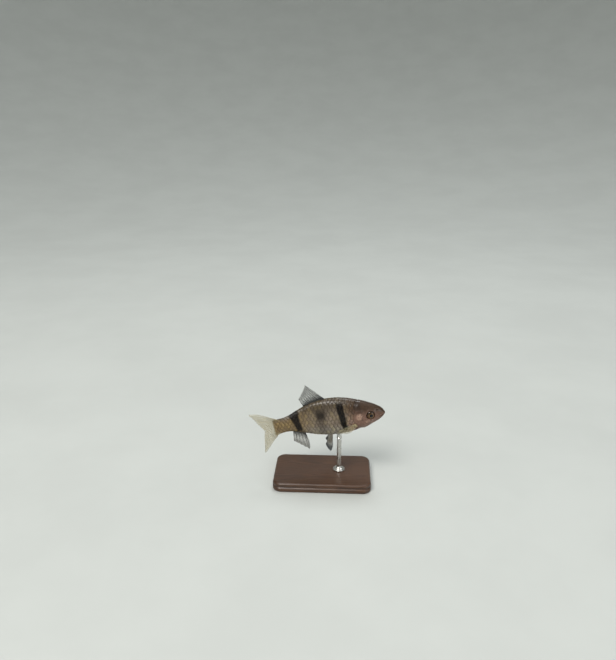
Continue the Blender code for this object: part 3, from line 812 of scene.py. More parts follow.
def pore_places():
    """Side view places of the head's sensory pores: round the eye, and down the cheek's edge."""
    count = np.arange(11)
    around = np.radians(-160.0 + 16.0 * count + 5.0 * np.sin(2.4 * count))
    far = 0.057 + 0.0012 * np.cos(3.1 * count)
    ring = np.stack([EYE_PLACE + far * np.cos(around), EYE_HEIGHT + far * np.sin(around)],
                    axis=-1)
    height = np.linspace(0.030, -0.084, 8) + 0.004 * np.sin(2.0 * np.arange(8))
    edge = gill_edge(height, 0.083, PLATE_CURVES)
    return np.vstack([ring, np.stack([edge, height], axis=-1)])


def mouth_forms(place, height):
    """The closed mouth: a fine groove, a round lip to each side of it, and a fold at its corner."""
    off = height - mouth_height(place)
    ahead = smooth(place, MOUTH_CORNER + 0.003, MOUTH_CORNER - 0.004)
    groove = bump(off, 0.0, 0.0016) * ahead
    lips = (bump(off, 0.0058, 0.0036) + bump(off, -0.0058, 0.0036)) * ahead
    behind_lips = (bump(off, 0.0135, 0.0026) + 0.9 * bump(off, -0.0135, 0.0026))
    behind_lips = behind_lips * smooth(place, MOUTH_CORNER + 0.012, MOUTH_CORNER - 0.006)
    fold = along_line(place, height, (0.037, 0.004), (0.056, -0.030), 0.0024)
    pucker = bump(np.hypot(place - MOUTH_CORNER - 0.001, height + 0.0225), 0.0, 0.0040)
    out = (LIP_RISE * lips - LIP_GROOVE * behind_lips - CORNER_FOLD * fold
           - CORNER_PIT * pucker)
    # The third value is painted shade in the creases behind the lips and in the pit at the mouth's
    # corner.
    return out, groove, np.maximum(0.45 * behind_lips, 0.6 * pucker)


def nostril_forms(place, height):
    """Two openings on each side with a raised flap between them and a low rim round both."""
    rear = bump(np.hypot(place - NOSTRIL_PLACE - 0.0050, height - NOSTRIL_HEIGHT), 0.0, 0.0042)
    front = bump(np.hypot(place - NOSTRIL_PLACE + 0.0042, height - NOSTRIL_HEIGHT + 0.001),
                 0.0, 0.0030)
    flap = bump(place, NOSTRIL_PLACE - 0.0004, 0.0017) * bump(height, NOSTRIL_HEIGHT, 0.0055)
    ring = bump(np.hypot((place - NOSTRIL_PLACE) * 0.75, height - NOSTRIL_HEIGHT), 0.0082, 0.0022)
    pits = np.maximum(rear, 0.9 * front)
    out = NOSTRIL_RIM * ring + NOSTRIL_FLAP * flap - NOSTRIL_DEPTH * pits * (1 - flap)
    # The second value is painted shade in the openings, less of it under the flap.
    return out, pits * (1 - 0.8 * flap)


def cheek_forms(place, height, behind):
    """The plates of the cheek and gill cover, how far each groove goes, and the painted shade in it.

    A groove rings the lower eye, with short seams out from it. The front edge of the gill
    cover is a parabola each way from its middle, as the rear edge is, and the cover rises
    behind it. A seam slants over its lower part, and another marks the lower jaw. Each carved
    form has a depth, and a darkness of painted shade in its groove.
    """
    far = from_eye(place, height)
    low = smooth(height, 0.034, 0.004) * smooth(place, 0.055, 0.090)
    ring = bump(far, 0.0690, 0.0032) * low
    around = np.degrees(np.arctan2(height - EYE_HEIGHT, place - EYE_PLACE))
    seams = sum(bump(around, at, 2.2) for at in (-142.0, -104.0, -62.0, -18.0))
    seams = seams * smooth(far, 0.047, 0.051) * smooth(far, 0.069, 0.064)
    ahead = place - gill_edge(height, 0.072, PLATE_CURVES)
    reach = smooth(height, -0.106, -0.076) * smooth(height, 0.078, 0.050)
    edge = bump(ahead, 0.0, 0.0034) * reach
    raised = smooth(ahead, -0.001, 0.012) * smooth(behind, 0.004, -0.012) * reach
    second = bump(ahead, -0.021, 0.0030) * reach * smooth(far, 0.064, 0.072)
    lower = bump(height + 0.058 - 0.35 * (place - 0.25), 0.0, 0.0030)
    lower = lower * smooth(behind, -0.066, -0.040) * smooth(behind, 0.0, -0.014)
    jaw = along_line(place, height, (0.056, -0.040), (0.140, -0.074), 0.0032)
    carved = ((ring, 0.0015, 0.20), (seams, 0.0008, 0.10), (edge, 0.0034, 0.30),
              (second, 0.0010, 0.0), (lower, 0.0013, 0.22), (jaw, 0.0014, 0.20))
    out = PLATE_RISE * raised - sum(depth * form for form, depth, _ in carved)
    return out, np.maximum.reduce([dark * form for form, _, dark in carved]), raised


def throat_forms(place, turn, points, behind):
    """Under the head: a middle groove from the chin back, and three gill rays to each side."""
    under = smooth(np.sin(turn), -0.60, -0.86)
    side = np.abs(points[..., 1])
    middle = bump(side, 0.0, 0.0075) * smooth(place, 0.030, 0.190) * (behind < 0) * under
    beside = smooth(side, 0.010, 0.022) * under * smooth(behind, -0.062, -0.050)
    rays = sum(bump(behind, -0.011 - 0.0125 * k, 0.0034) for k in range(3)) * beside
    chin = bump(np.hypot(place - 0.040, side * 1.3), 0.0, 0.016) * under
    # The second value is painted shade in the throat's middle groove.
    return 0.0011 * rays - 0.0018 * middle + 0.0006 * chin, 0.20 * middle


def free_edge(height):
    """1 where the gill cover's rear edge is free, falling to 0 at the nape."""
    return smooth(height, 0.092, 0.048)


def head_forms(place, turn, points, sizes):
    """Heights of the head's fine forms over the plain body, and two values for its looks.

    They are the painted shade that darkens the colour in each groove, crease, pit, slit and
    socket and at the pores, and how far each point is on the plate of the gill cover. The
    cover rises evenly to its rear edge, and the skin just behind that edge drops into the gill
    slit. The skin over the eye swells into a low brow.
    """
    height = points[..., 2]
    on_side = np.abs(points[..., 1]) > 0.006
    behind = place - place_at_gill(turn)
    mouth, groove, fold_shade = mouth_forms(place, height)
    nostrils, pits = nostril_forms(place, height)
    cheek, groove_shade, plate = cheek_forms(place, height, behind)
    throat, gular_shade = throat_forms(place, turn, points, behind)
    rise = smooth(behind, -0.085, -0.030) * (1 - 0.35 * smooth(behind, -0.010, 0.0))
    step = np.where(behind <= 1e-9, rise, 0.0) * free_edge(height)
    slit = np.where(behind > 1e-9, bump(behind, 0.0, SLIT_WIDTH), 0.0) * free_edge(height)
    brow = bump(from_eye(place, height), 0.052, 0.010) * smooth(height, 0.030, 0.050)
    across, up = pore_places().T
    far = np.hypot(place[..., None] - across, height[..., None] - up)
    pores = bump(far.min(axis=-1), 0.0, 0.0012) * on_side
    socket = socket_dip(points, sizes)
    out = (sizes.gill_step * step - SLIT_DEPTH * slit + mouth - sizes.mouth_depth * groove
           + (nostrils + cheek + BROW_RISE * brow) * on_side + throat - PORE_DEPTH * pores
           - SOCKET_DEPTH * socket)
    # Painted shade: how far the skin's colour is darkened in each groove, crease, pit, slit and
    # socket, and at the pores.
    painted_shade = np.maximum.reduce([groove, fold_shade, pits * on_side, slit, 0.9 * socket, gular_shade,
                                groove_shade * on_side, 0.50 * pores])
    return out, painted_shade, plate * smooth(behind, 0.001, -0.001)


def skin_height(place, turn, points, sizes):
    """How far the skin lies from the plain body: relief, head forms, and the coat's depth.

    The skin sinks under the first scales by smooth steps, short behind the gill covers and
    long over the nape and the throat.
    """
    out, painted_shade, plate = head_forms(place, turn, points, sizes)
    behind = place - place_at_gill(turn)
    cover = smooth(points[..., 2], 0.110, 0.050)
    reach = 0.026 - 0.020 * cover
    under_scales = smooth(behind, -0.4 * reach, reach)
    return relief(points) + out - sizes.coat_depth * under_scales, painted_shade, plate


def body_map(points):
    """Place and height of points, as the markings read them."""
    return np.stack([-points[:, 0], 0.5 + points[:, 2]], axis=-1)


def bake_map(place, turn):
    """The body unrolled along the square root of the place, which gives the head more room."""
    both = np.sqrt(place / (1 + TAIL_WEDGE)), turn / (2 * pi) % 1.0
    return np.stack(np.broadcast_arrays(*both), axis=-1).reshape(-1, 2)


def rise_at(turn):
    """Height as a share of the body's own: 1 along the back and -1 along the belly."""
    return power(np.sin(turn), 2 / FULLNESS)


def crowded(count, crowding):
    """Shares of the way up to 1, a power of even ones, so closer together at first."""
    return (np.arange(1, count + 1)[:, None] / count) ** crowding


def build_skin(sizes, finish):
    """The whole skin as rings of points on the plain body moved along its normals.

    The rings' places are shares of the gill edge's place ahead of it, and of the rest behind
    it, so that the gill edge lies along one ring. That ring is drawn back over the gill slit.
    """
    t = np.arange(SKIN_COLUMNS) * 2 * pi / SKIN_COLUMNS
    turn = t - SIDE_CROWDING * np.sin(2 * t)
    gill = place_at_gill(turn)
    head = crowded(HEAD_RINGS, HEAD_CROWDING) * gill
    trunk = gill + crowded(TRUNK_RINGS, TRUNK_CROWDING) * (1.0 - gill)
    wedge = 1.0 + TAIL_WEDGE * np.sin(np.linspace(0, 1, WEDGE_RINGS + 1)[1:, None] * pi / 2)
    place = np.vstack([head, trunk, np.broadcast_to(wedge, (WEDGE_RINGS, SKIN_COLUMNS))])
    turn = np.broadcast_to(turn, place.shape)
    plain = section(place, turn)
    out, painted_shade, plate = skin_height(place, turn, plain, sizes)
    points = plain + normal_at(place, turn) * out[..., None]
    lap = np.zeros((len(place), 1))
    lap[HEAD_RINGS - 2 : HEAD_RINGS, 0] = GILL_LAP
    points[..., 0] -= lap * free_edge(plain[..., 2])
    tip = LIP_SHARE * LIP_SWELL - sizes.mouth_depth
    points = np.vstack([[(tip, 0.0, 0.0)], points.reshape(-1, 3)])

    last = 1 + (len(place) - 1) * SKIN_COLUMNS
    half = SKIN_COLUMNS // 2
    up = np.arange(-half // 2 + 1, half // 2)
    left = last + up % SKIN_COLUMNS
    right = last + (half - up) % SKIN_COLUMNS
    bottom, top = last + 3 * half // 2, last + half // 2
    faces = [
        grid(len(place), SKIN_COLUMNS, 1, wrap=True),
        np.stack([left[:-1], right[:-1], right[1:], left[1:]], axis=-1),
        fan(0, 1 + np.arange(SKIN_COLUMNS)[::-1]),
        np.array([[bottom, right[0], left[0]], [top, left[-1], right[-1]]]),
    ]
    seat = np.vstack([[(0.0, 0.5)], bake_map(place, t)])
    maps = {"Body": corner_map(body_map(points), faces),
            "OFBake": corner_map(seat, faces, wrap=True)}
    snout = maps["OFBake"][2]
    snout[:, 0, 1] = snout[:, 1:, 1].mean(axis=1)
    # The snout's middle point, where the lips meet, gets strong painted shade.
    values = {"rise": [0.0, *rise_at(turn).ravel()], "painted_shade": [0.8, *painted_shade.ravel()],
              "plate": [0.0, *plate.ravel()]}
    return piece("skin", placed(points, sizes), faces, finish, maps, values,
                 ("head", "trunk", "tail_stem", "gill_cover_left", "gill_cover_right"))


ROWS_UP, ROWS_DOWN = 8, 7  # the most rows of scales above and below the lateral line
BACK_ROW, BELLY_ROW = 100, -100  # stand for the scales along the middle of the back and belly
SCALE_LENGTH = 1.78  # of one scale, in spaces between scales along a row
SCALE_HALF = 0.99  # of one scale's width, in spaces between rows
SCALE_ACROSS = 12
SCALE_ALONG = (0.0, 0.50, 0.93, 1.0)
SCALE_DROP = (0.0, 0.0, 0.08, 1.0)  # of each row of a scale's points, in its thickness
SCALE_DEPTH = 0.0006  # of the scales' roots under the coat's own depth
ROOT_DROP = 0.0034  # of a scale's root under the line of the rest
SCALE_WIDEST = 0.36  # share of a scale's length where its round rear half begins
SCALE_SHOWS, SCALE_MIDDLE = 0.9, 1.1  # along a scale, in spaces: its shown start, its middle
EDGE_GAP = 0.30  # of a row's width, left free along the back and the belly
SPACING, ROW_WIDTH = (0.0375, 0.0320), (0.0405, 0.0245)  # at the shoulder and the tail stem
LINE_START = 0.252  # place where the count of scales along the lateral line starts
BEAD_AT, BEAD_HALF = 1.28, 0.30  # along a scale of the lateral line, in spaces between scales
BEAD_WIDE, BEAD_TALL, BEAD_SUNK = 0.0023, 0.0015, 0.0011


class ScaleField:
    """Where scales lie: rows run along the body, spaced over its skin from the lateral line."""

    def __init__(self):
        self.place = np.linspace(0.16, 1.0 + TAIL_WEDGE, 240)
        turn = np.linspace(-pi / 2, pi / 2, 361)
        around = section(*np.meshgrid(self.place, turn, indexing="ij"))
        steps = np.linalg.norm(np.diff(around, axis=1), axis=-1)
        arc = np.hstack([np.zeros((len(self.place), 1)), np.cumsum(steps, axis=1)])
        back, belly, _ = body_sizes(self.place)
        line = (0.034 * bump(self.place, 0.25, 0.085) - 0.014 * bump(self.place, 0.50, 0.16)
                + 0.004 * smooth(self.place, 0.7, 1.0))
        line_turn = np.arcsin(power(line / np.where(line > 0, back, belly), FULLNESS / 2))
        self.full = arc[:, -1]
        self.below = np.array([np.interp(x, turn, row) for x, row in zip(line_turn, arc)])
        self.above = self.full - self.below
        spacing = between(*SPACING, smooth(self.place, 0.35, 0.95))
        self.count = np.concatenate([[0], np.cumsum(np.diff(self.place) / spacing[1:])])
        self.count -= np.interp(LINE_START, self.place, self.count)
        self.row_width = between(*ROW_WIDTH, smooth(self.place, 0.42, 0.97))
        even = np.linspace(0, 1, 721)
        self.turns = np.array([np.interp(even, row / row[-1], turn) for row in arc])

    def room(self, column):
        """A row's width at a column, and how far the skin goes above and below the line."""
        place = np.interp(column, self.count, self.place)
        return [np.interp(place, self.place, x) for x in (self.row_width, self.above, self.below)]

    def at(self, column, arc):
        """Place and turn of points given by their column and their arc from the lateral line.

        An arc past the middle of the back or belly comes down the other side.
        """
        place = np.interp(column, self.count, self.place)
        at = (place - self.place[0]) / (self.place[1] - self.place[0])
        low = np.clip(at.astype(int), 0, len(self.place) - 2)
        full = between(self.full[low], self.full[low + 1], at - low)
        from_belly = arc + between(self.below[low], self.below[low + 1], at - low)
        over = np.where(from_belly > full, 1, np.where(from_belly < 0, -1, 0))
        share = np.where(over > 0, 2 * full - from_belly, np.abs(from_belly)) / full
        turn = between(self.turn_of(low, share), self.turn_of(low + 1, share), at - low)
        return place, np.where(over > 0, pi - turn, np.where(over < 0, -pi - turn, turn))

    def turn_of(self, index, share):
        """Turn at a share of the way from belly to back over the section of that index."""
        at = np.clip(share, 0, 1) * (self.turns.shape[1] - 1)
        low = np.clip(at.astype(int), 0, self.turns.shape[1] - 2)
        return between(self.turns[index, low], self.turns[index, low + 1], at - low)

    def fits(self, column, turn):
        """Whether a scale shows from the gill edge on, and ends before the field does."""
        start = np.interp(column + SCALE_SHOWS, self.count, self.place)
        return start >= place_at_gill(turn)[0] and column + SCALE_LENGTH <= self.count[-1]


def scale_seats(field, draw):
    """Column, row and chance of each scale of one side: rows end at the back and the belly."""
    seats = []
    for row in range(-ROWS_DOWN, ROWS_UP + 1):
        for number in range(-3, 24):
            column = number + 0.5 * (row % 2)
            middle = np.array([column + SCALE_MIDDLE])
            width, up, down = field.room(middle)
            gap = EDGE_GAP * width
            if not gap - down < row * width < up - gap:
                continue
            if field.fits(column, field.at(middle, row * width)[1]):
                seats.append((column, row, draw.uniform(0, 1)))
    return np.array(seats)


def midline_seats(field, draw, row, turn):
    """Column, row and chance of each scale along the middle of the back or the belly."""
    columns = [x for x in np.arange(-3.75, 24.0) if field.fits(x, np.array([turn]))]
    return np.array([(column, row, draw.uniform(0, 1)) for column in columns])


def plate_faces(rows, across):
    """A scale's grid on top, its underside, and a face with six corners at each end of that."""
    number = np.arange(rows * across).reshape(rows, across)
    root, rear = number[0], number[-1]
    under = np.stack([root[2:-1], root[1:-2], rear[1:-2], rear[2:-1]], axis=-1)
    left = np.array([[root[1], *number[:, 0], rear[1]]])
    right = np.array([[rear[-2], *number[::-1, -1], root[-2]]])
    return [grid(rows, across), under, left, right]


def lay_over(name, side, place, turn, lift, parts, own, seat, values, sizes, finish):
    """A mesh of like parts over one side: points of the plain body moved along its normals.

    The first axis of place and turn counts the parts, each with the faces in parts.
    """
    points = section(place, turn) + normal_at(place, turn) * lift[..., None]
    points = points.reshape(-1, 3) * (1, side, 1)
    start = np.arange(len(place))[:, None, None] * place[0].size
    faces = [(start + part).reshape(-1, part.shape[-1]) for part in parts]
    maps = {"Body": corner_map(body_map(points), faces), "Scale": corner_map(own, faces),
            "OFBake": corner_map(seat, faces, wrap=True)}
    values = {title: np.broadcast_to(number, place.shape) for title, number in values.items()}
    return piece(name, placed(points, sizes), faces, finish, maps, values)


def build_scales(name, side, seats, field, sizes, finish):
    """Overlapping plates over one side of the fish, as one mesh.

    Each plate is a grid of 12 by 3 faces. Its rear edge is a half ellipse: the share of its
    length where a column ends is the widest share plus the rest times the square root of
    1 - v². A plate rises evenly from its root under the skin to its rear edge, which drops by
    the plate's thickness, and its underside joins the root to the rear edge.
    """
    even = np.linspace(-1, 1, SCALE_ACROSS + 1)
    v = 0.5 * np.sin(even * pi / 2) + 0.5 * even
    rear = SCALE_WIDEST + (1 - SCALE_WIDEST) * np.sqrt(np.maximum(1 - v**2, 0))
    along = np.array(SCALE_ALONG)[:, None] * rear
    drop = np.array(SCALE_DROP)[:, None]
    column, row, chance = (seats[:, k][:, None, None] for k in range(3))
    middle = np.abs(row) == BACK_ROW
    columns = column + along * SCALE_LENGTH * (0.97 + 0.06 * chance)
    width, up, down = field.room(columns)
    centre = np.where(row == BACK_ROW, up, np.where(row == BELLY_ROW, -down, row * width))
    arc = centre + v * SCALE_HALF * width * np.where(middle, 0.92, 1.0)
    place, turn = field.at(columns, arc)
    lift = (sizes.scale_step * SCALE_LENGTH * along - SCALE_DEPTH) * (1 - 0.45 * middle)
    lift = lift - 0.0007 * v**2 + 0.0008 * middle + 0.0005 * (chance - 0.5) * along
    lift = lift - sizes.coat_depth - sizes.scale_thickness * drop - ROOT_DROP * (along == 0)
    own = np.stack(np.broadcast_arrays(along, 0.5 + 0.5 * v), axis=-1).reshape(-1, 2)
    root = bake_map(place[:, 0, SCALE_ACROSS // 2], turn[:, 0, SCALE_ACROSS // 2])
    seat = np.clip(root, 0.003, 0.997)[:, None] + 0.003 * (own - 0.5)
    rim = np.array(SCALE_ALONG)[:, None] ** 2
    return lay_over(name, side, place, turn, lift, plate_faces(*along.shape),
                    np.tile(own, (len(seats), 1)), seat.reshape(-1, 2),
                    {"rise": rise_at(turn), "tint": chance, "rim": rim}, sizes, finish)


def ball(steps, columns):
    """Angles of a ball's points down from its first pole and round its axis, and its faces.

    The points are the first pole, the rings in turn, and the last pole.
    """
    down, around = np.meshgrid(np.linspace(0, pi, steps + 1)[1:-1],
                               np.arange(columns) * 2 * pi / columns, indexing="ij")
    down = np.array([0.0, *down.ravel(), pi])
    around = np.array([0.0, *around.ravel(), 0.0])
    last = len(down) - 1
    faces = [grid(steps - 1, columns, 1, wrap=True), fan(0, 1 + np.arange(columns)[::-1]),
             fan(last, np.arange(last - columns, last))]
    return down, around, faces


def build_pores(name, side, seats, field, sizes, finish):
    """The lateral line's tubes: half-sunk beads, each a small ellipsoid on the row's scales."""
    down, around, parts = ball(6, 8)
    long, wide = -np.cos(down), np.sin(down) * np.cos(around)
    first = seats[seats[:, 1] == 0, :1]
    along = BEAD_AT + BEAD_HALF * long
    place, turn = field.at(first + along, BEAD_WIDE * wide)
    lift = (sizes.scale_step * along - sizes.coat_depth - BEAD_SUNK
            + BEAD_TALL * np.sin(down) * np.sin(around))
    own = np.tile(np.stack([long, wide], axis=-1), (len(first), 1)) * 0.02 + (0.6, 0.5)
    return lay_over(name, side, place, turn, lift, parts, own, bake_map(place, turn),
                    {"rise": 0.0, "tint": 0.55, "rim": 0.3}, sizes, finish)


LENS_BULGE, LENS_REACH = 0.10, 0.44  # over the eyeball, in shares of its depth and its radius


def build_eye(name, side, sizes, finish, node):
    """An ellipsoid with its pole to the side, turned forwards, with the lens bulging in it.

    The bulge is e to the minus (reach from the pole / the lens's reach) to the fourth power.
    """
    down, around, faces = ball(72, 96)
    reach, outer = np.sin(down), down < pi / 2
    depth = np.cos(down) + LENS_BULGE * np.exp(-((reach / LENS_REACH) ** 4)) * outer
    unit = np.stack([reach * np.cos(around), depth, reach * np.sin(around)], axis=-1)
    x, y, z = (unit * (sizes.eye_radius, side * sizes.eye_depth, sizes.eye_radius)).T
    turn = -side * EYE_TURN
    points = np.stack([x * cos(turn) - y * sin(turn) - EYE_PLACE,
                       x * sin(turn) + y * cos(turn) + side * EYE_SIDE, z + EYE_HEIGHT], axis=-1)
    maps = {"Iris": corner_map(0.5 + 0.5 * unit[:, [0, 2]], faces)}
    values = {"reach": np.where(outer, reach, 1.2)}
    return piece(name, placed(points, sizes), faces, finish, maps, values, (node,))


# Rays are counted from a fin's front or outer edge. Lengths are those of its first, longest and
# last ray, crown is the longest one's share of the way, and fall shapes the edge behind it.
# Start and end are places on the body. The tail has the height of a lobe's outer ray for its
# start, and the breast fin has degrees up the side.
Fin = namedtuple("Fin", "start end first longest last crown fall cup simple forked stout wave")
DORSAL = Fin(0.540, 0.742, 0.115, 0.208, 0.078, 0.12, 0.80, 0.000, 3, 8, 0.0032, 0.0040)
ANAL = Fin(0.755, 0.872, 0.085, 0.175, 0.090, 0.18, 0.80, 0.000, 3, 5, 0.0030, 0.0040)
TAIL_UPPER = Fin(0.066, 0.0, 0.185, 0.272, 0.138, 0.12, 0.60, 0.000, 1, 9, 0.0034, 0.0)
TAIL_LOWER = Fin(0.064, 0.0, 0.178, 0.258, 0.138, 0.12, 0.60, 0.000, 1, 8, 0.0034, 0.0)
PELVIC = Fin(0.502, 0.530, 0.100, 0.155, 0.100, 0.20, 1.20, 0.006, 1, 8, 0.0026, 0.0025)
PECTORAL = Fin(-20.0, -35.0, 0.120, 0.190, 0.080, 0.18, 1.10, 0.008, 1, 11, 0.0018, 0.0030)
DORSAL_SLANT = (46.0, 64.0)  # degrees from the body's axis, for the first ray and the last
ANAL_SLANT = (-104.0, -84.0)
TAIL_SLANT = 33.0
# Ways forwards, outwards and up, for the first ray and the last.
PELVIC_WAY = ((-0.12, 0.30, -0.94), (-0.52, 0.20, -0.82))
PECTORAL_WAY = ((-0.89, 0.44, -0.04), (-0.78, 0.36, -0.50))
PELVIC_TURN = -66.0
PECTORAL_BEHIND = 0.020
WEB_HALF = 0.0007  # half the web's thickness
ROOT_SINK = 0.022  # of a fin's root into the body
# Along a fin's root: the first simple ray, the next ones' step, the forked ones' start and end.
FIRST_RAY, SIMPLE_STEP, FORKED_AFTER, LAST_RAY = 0.014, 0.042, 0.085, 0.984
JOINT = 0.0105  # between the joints along a ray
FORKS = ((0.235, 0.26, 0.86), (0.110, 0.58, 1.05))  # spread in gaps, where it starts and ends
TEETH = 26.0  # along the saw's rear edge
NOTCH = 0.045  # depth of the fin's edge between the rays' tips, in shares of their length
FLESH = 0.0050  # half the thickness that the body's flesh adds at a fin's root
FIN_ROWS, FIN_COLUMNS = 110, 230

Ray = namedtuple("Ray", "centre forked stout")


def slant(degrees):
    """Ways that point back at 0 and straight up at 90 degrees."""
    angle = np.radians(degrees)
    return np.stack([-np.cos(angle), 0 * angle, np.sin(angle)], axis=-1)


def ray_length(plan, share):
    """Rises from the first ray to the longest as a sine, then falls to the last as a power."""
    rising = between(plan.first, plan.longest, np.sin(np.clip(share / plan.crown, 0, 1) * pi / 2))
    fallen = np.clip((share - plan.crown) / (1 - plan.crown), 0, 1) ** plan.fall
    return np.where(share < plan.crown, rising, between(plan.longest, plan.last, fallen))


def ray_fan(plan):
    """The rays of a fin: simple ones close together at the front, then the forked ones."""
    front = [FIRST_RAY + SIMPLE_STEP * i for i in range(plan.simple)]
    rest = np.linspace(front[-1] + FORKED_AFTER, LAST_RAY, plan.forked)
    rays = [Ray(x, False, 0.85 + 0.22 * i) for i, x in enumerate(front)]
    return rays + [Ray(x, True, 1.0) for x in rest]


def ridges(rays, across, along, span, reach, stout, saw=None):
    """Height of a fin's rays over its web, and how far each point is on a ray.

    A ray is a round ridge: its radius times a bell curve of the distance from its middle line.
    A forked ray's line divides twice on its way out, by smooth steps of the share along. The
    radius falls to the tip, and dips a little at each joint. The ray called saw has teeth.
    """
    height = np.zeros(np.broadcast(across, along).shape)
    on_ray = np.zeros_like(height)
    order = sorted(rays, key=lambda ray: ray.centre)
    centres = np.array([ray.centre for ray in order])
    gaps = np.gradient(centres)
    joints = bump((along * reach / JOINT) % 1.0, 0.5, 0.11) * smooth(along, 0.22, 0.34)
    for ray, gap in zip(order, gaps):
        first, second = (spread * gap * smooth(along, start, end) * ray.forked
                         for spread, start, end in FORKS)
        thin = 1 - 0.30 * ray.forked * smooth(along, 0.30, 0.60)
        radius = stout * ray.stout * (1 - 0.62 * np.clip(along, 0, 1)) * thin
        radius = radius * (1 - 0.16 * joints)
        for way in (-1, 1):
            for turn in (-1, 1):
                off = (across - ray.centre - way * first - turn * second) * span
                if ray is saw:
                    teeth = 0.35 * radius * np.abs((along * TEETH) % 1.0 - 0.5)
                    off = np.where(off > 0, np.maximum(off - 2 * teeth, 0), off)
                bell = np.exp(-1.2 * (off / radius) ** 2)
                height = np.maximum(height, radius * bell)
                on_ray = np.maximum(on_ray, bell * (1 - 0.25 * joints))
    return height, on_ray


def slab(points, normals, half):
    """Two skins of a grid of middle points, half a thickness to each side, and their faces."""
    rows, columns = half.shape
    both = np.concatenate([(points + normals * half[..., None]).reshape(-1, 3),
                           (points - normals * half[..., None]).reshape(-1, 3)])
    other = rows * columns
    front = grid(rows, columns)
    edge = np.concatenate([
        np.arange(columns), np.arange(1, rows) * columns + columns - 1,
        (rows - 1) * columns + np.arange(columns - 2, -1, -1),
        np.arange(rows - 2, 0, -1) * columns])
    after = np.roll(edge, -1)
    rim = np.stack([after, edge, edge + other, after + other], axis=-1)
    return both, [front, front[:, ::-1] + other, rim]


def build_fin(name, plan, roots, ways, lengths, rays, sizes, finish, nodes, saw=None):
    """A webbed fan of rays as one closed sheet.

    Its middle is root + share along times length times way, sunk a little into the body, with
    a faint wave that grows outwards. Its edge is cut in between the rays' tips.
    """
    across = np.linspace(0, 1, len(lengths))
    along = np.linspace(-ROOT_SINK / lengths.mean(), 1, FIN_ROWS)[:, None]
    centres = np.array(sorted(ray.centre for ray in rays))
    nearest = np.abs(across[:, None] - centres).min(axis=1)
    gap = np.interp(across, centres, np.gradient(centres))
    notch = NOTCH * smooth(nearest / gap, 0.22, 0.50)
    lengths = lengths * (1 - notch * smooth(across, 0.0, 0.06))
    ways = ways / np.linalg.norm(ways, axis=1, keepdims=True)
    middle = roots + along[..., None] * lengths[:, None] * ways
    normal = np.cross(np.gradient(middle, axis=0), np.gradient(middle, axis=1))
    normal /= np.linalg.norm(normal, axis=-1, keepdims=True)
    out = np.clip(along, 0, 1)
    lean = plan.cup * out**2 * (2 * across - 1) ** 2
    lean = lean + plan.wave * out**1.6 * np.sin(across * 7.0 + 0.6 + 1.8 * out)
    middle = middle + normal * lean[..., None]
    span = np.linalg.norm(np.gradient(middle, axis=1), axis=-1) * (len(across) - 1)
    height, on_ray = ridges(rays, across, along, span, lengths, plan.stout, saw)
    flesh = FLESH * bump(np.maximum(along, 0), 0.0, 0.10)
    half = WEB_HALF * (1 - 0.45 * out) + height + flesh
    half = half * smooth(1.012 - along, 0.0, 0.03)
    points, faces = slab(middle, normal, np.maximum(half, 0.00025))
    at = np.stack(np.broadcast_arrays(across, along), axis=-1).reshape(-1, 2)
    at = np.vstack([at, at])
    seat = at * (0.48, 0.98) + 0.01
    seat[len(seat) // 2 :, 0] += 0.50
    seat[:, 1] = np.clip(seat[:, 1], 0.0, 1.0)
    maps = {"Fin": corner_map(at, faces), "OFBake": corner_map(seat, faces)}
    values = {"ray": np.tile(on_ray.ravel(), 2)}
    return piece(name, placed(points, sizes), faces, finish, maps, values, nodes)


def median_fin(name, plan, slants, up, sizes, finish, node, saw=None):
    """A fin along the middle of the back, for up of 1, or of the belly, for up of -1."""
    share = np.linspace(0, 1, FIN_COLUMNS)
    place = between(plan.start, plan.end, share)
    edge = body_sizes(place)[0 if up > 0 else 1]
    roots = np.stack([-place, 0 * place, up * edge], axis=-1)
    ways = slant(between(slants[0], slants[1], share))
    rays = ray_fan(plan)
    return build_fin(name, plan, roots, ways, ray_length(plan, share), rays, sizes, finish,
                     (node,), rays[saw] if saw is not None else None)


def tail_fin(sizes, finish):
    """Both lobes of the forked tail fin as one fan, from its upper edge down to its lower one."""
    share = np.linspace(0, 1, int(FIN_COLUMNS * 1.7))
    rise = 1 - 2 * share
    inward = 1 - np.abs(rise)
    upper = rise > 0
    start = np.where(upper, TAIL_UPPER.start, -TAIL_LOWER.start)
    height = start * (1 - inward)
    lengths = np.where(upper, ray_length(TAIL_UPPER, inward), ray_length(TAIL_LOWER, inward))
    roots = np.stack([-1.0 + 0 * share, 0 * share, height], axis=-1)
    ways = slant(TAIL_SLANT * np.where(upper, 1, -1) * (1 - inward))
    rays = []
    for plan, way in ((TAIL_UPPER, -1), (TAIL_LOWER, 1)):
        count = plan.simple + plan.forked
        for i in range(count):
            inner = 0.03 + 0.97 * (i + 0.25) / (count - 0.25)
            rays.append(Ray(0.5 + way * 0.5 * (1 - inner), i >= plan.simple,
                            1.15 if i < 2 else 1.0))
    plan = TAIL_UPPER._replace(wave=0.0045)
    return build_fin("fine_tail_fin", plan, roots, ways, lengths, rays, sizes, finish,
                     ("tail_fin_upper", "tail_fin_lower"))


def paired_fin(name, plan, side, place, turn, ways, sizes, finish, node):
    """A fin that grows from the side of the body."""
    share = np.linspace(0, 1, FIN_COLUMNS)
    roots = section(place, turn) * (1, side, 1)
    forwards, out, up = (between(a, b, share) for a, b in zip(*ways))
    return build_fin(name, plan, roots, np.stack([forwards, side * out, up], axis=-1),
                     ray_length(plan, share), ray_fan(plan), sizes, finish, (node,))


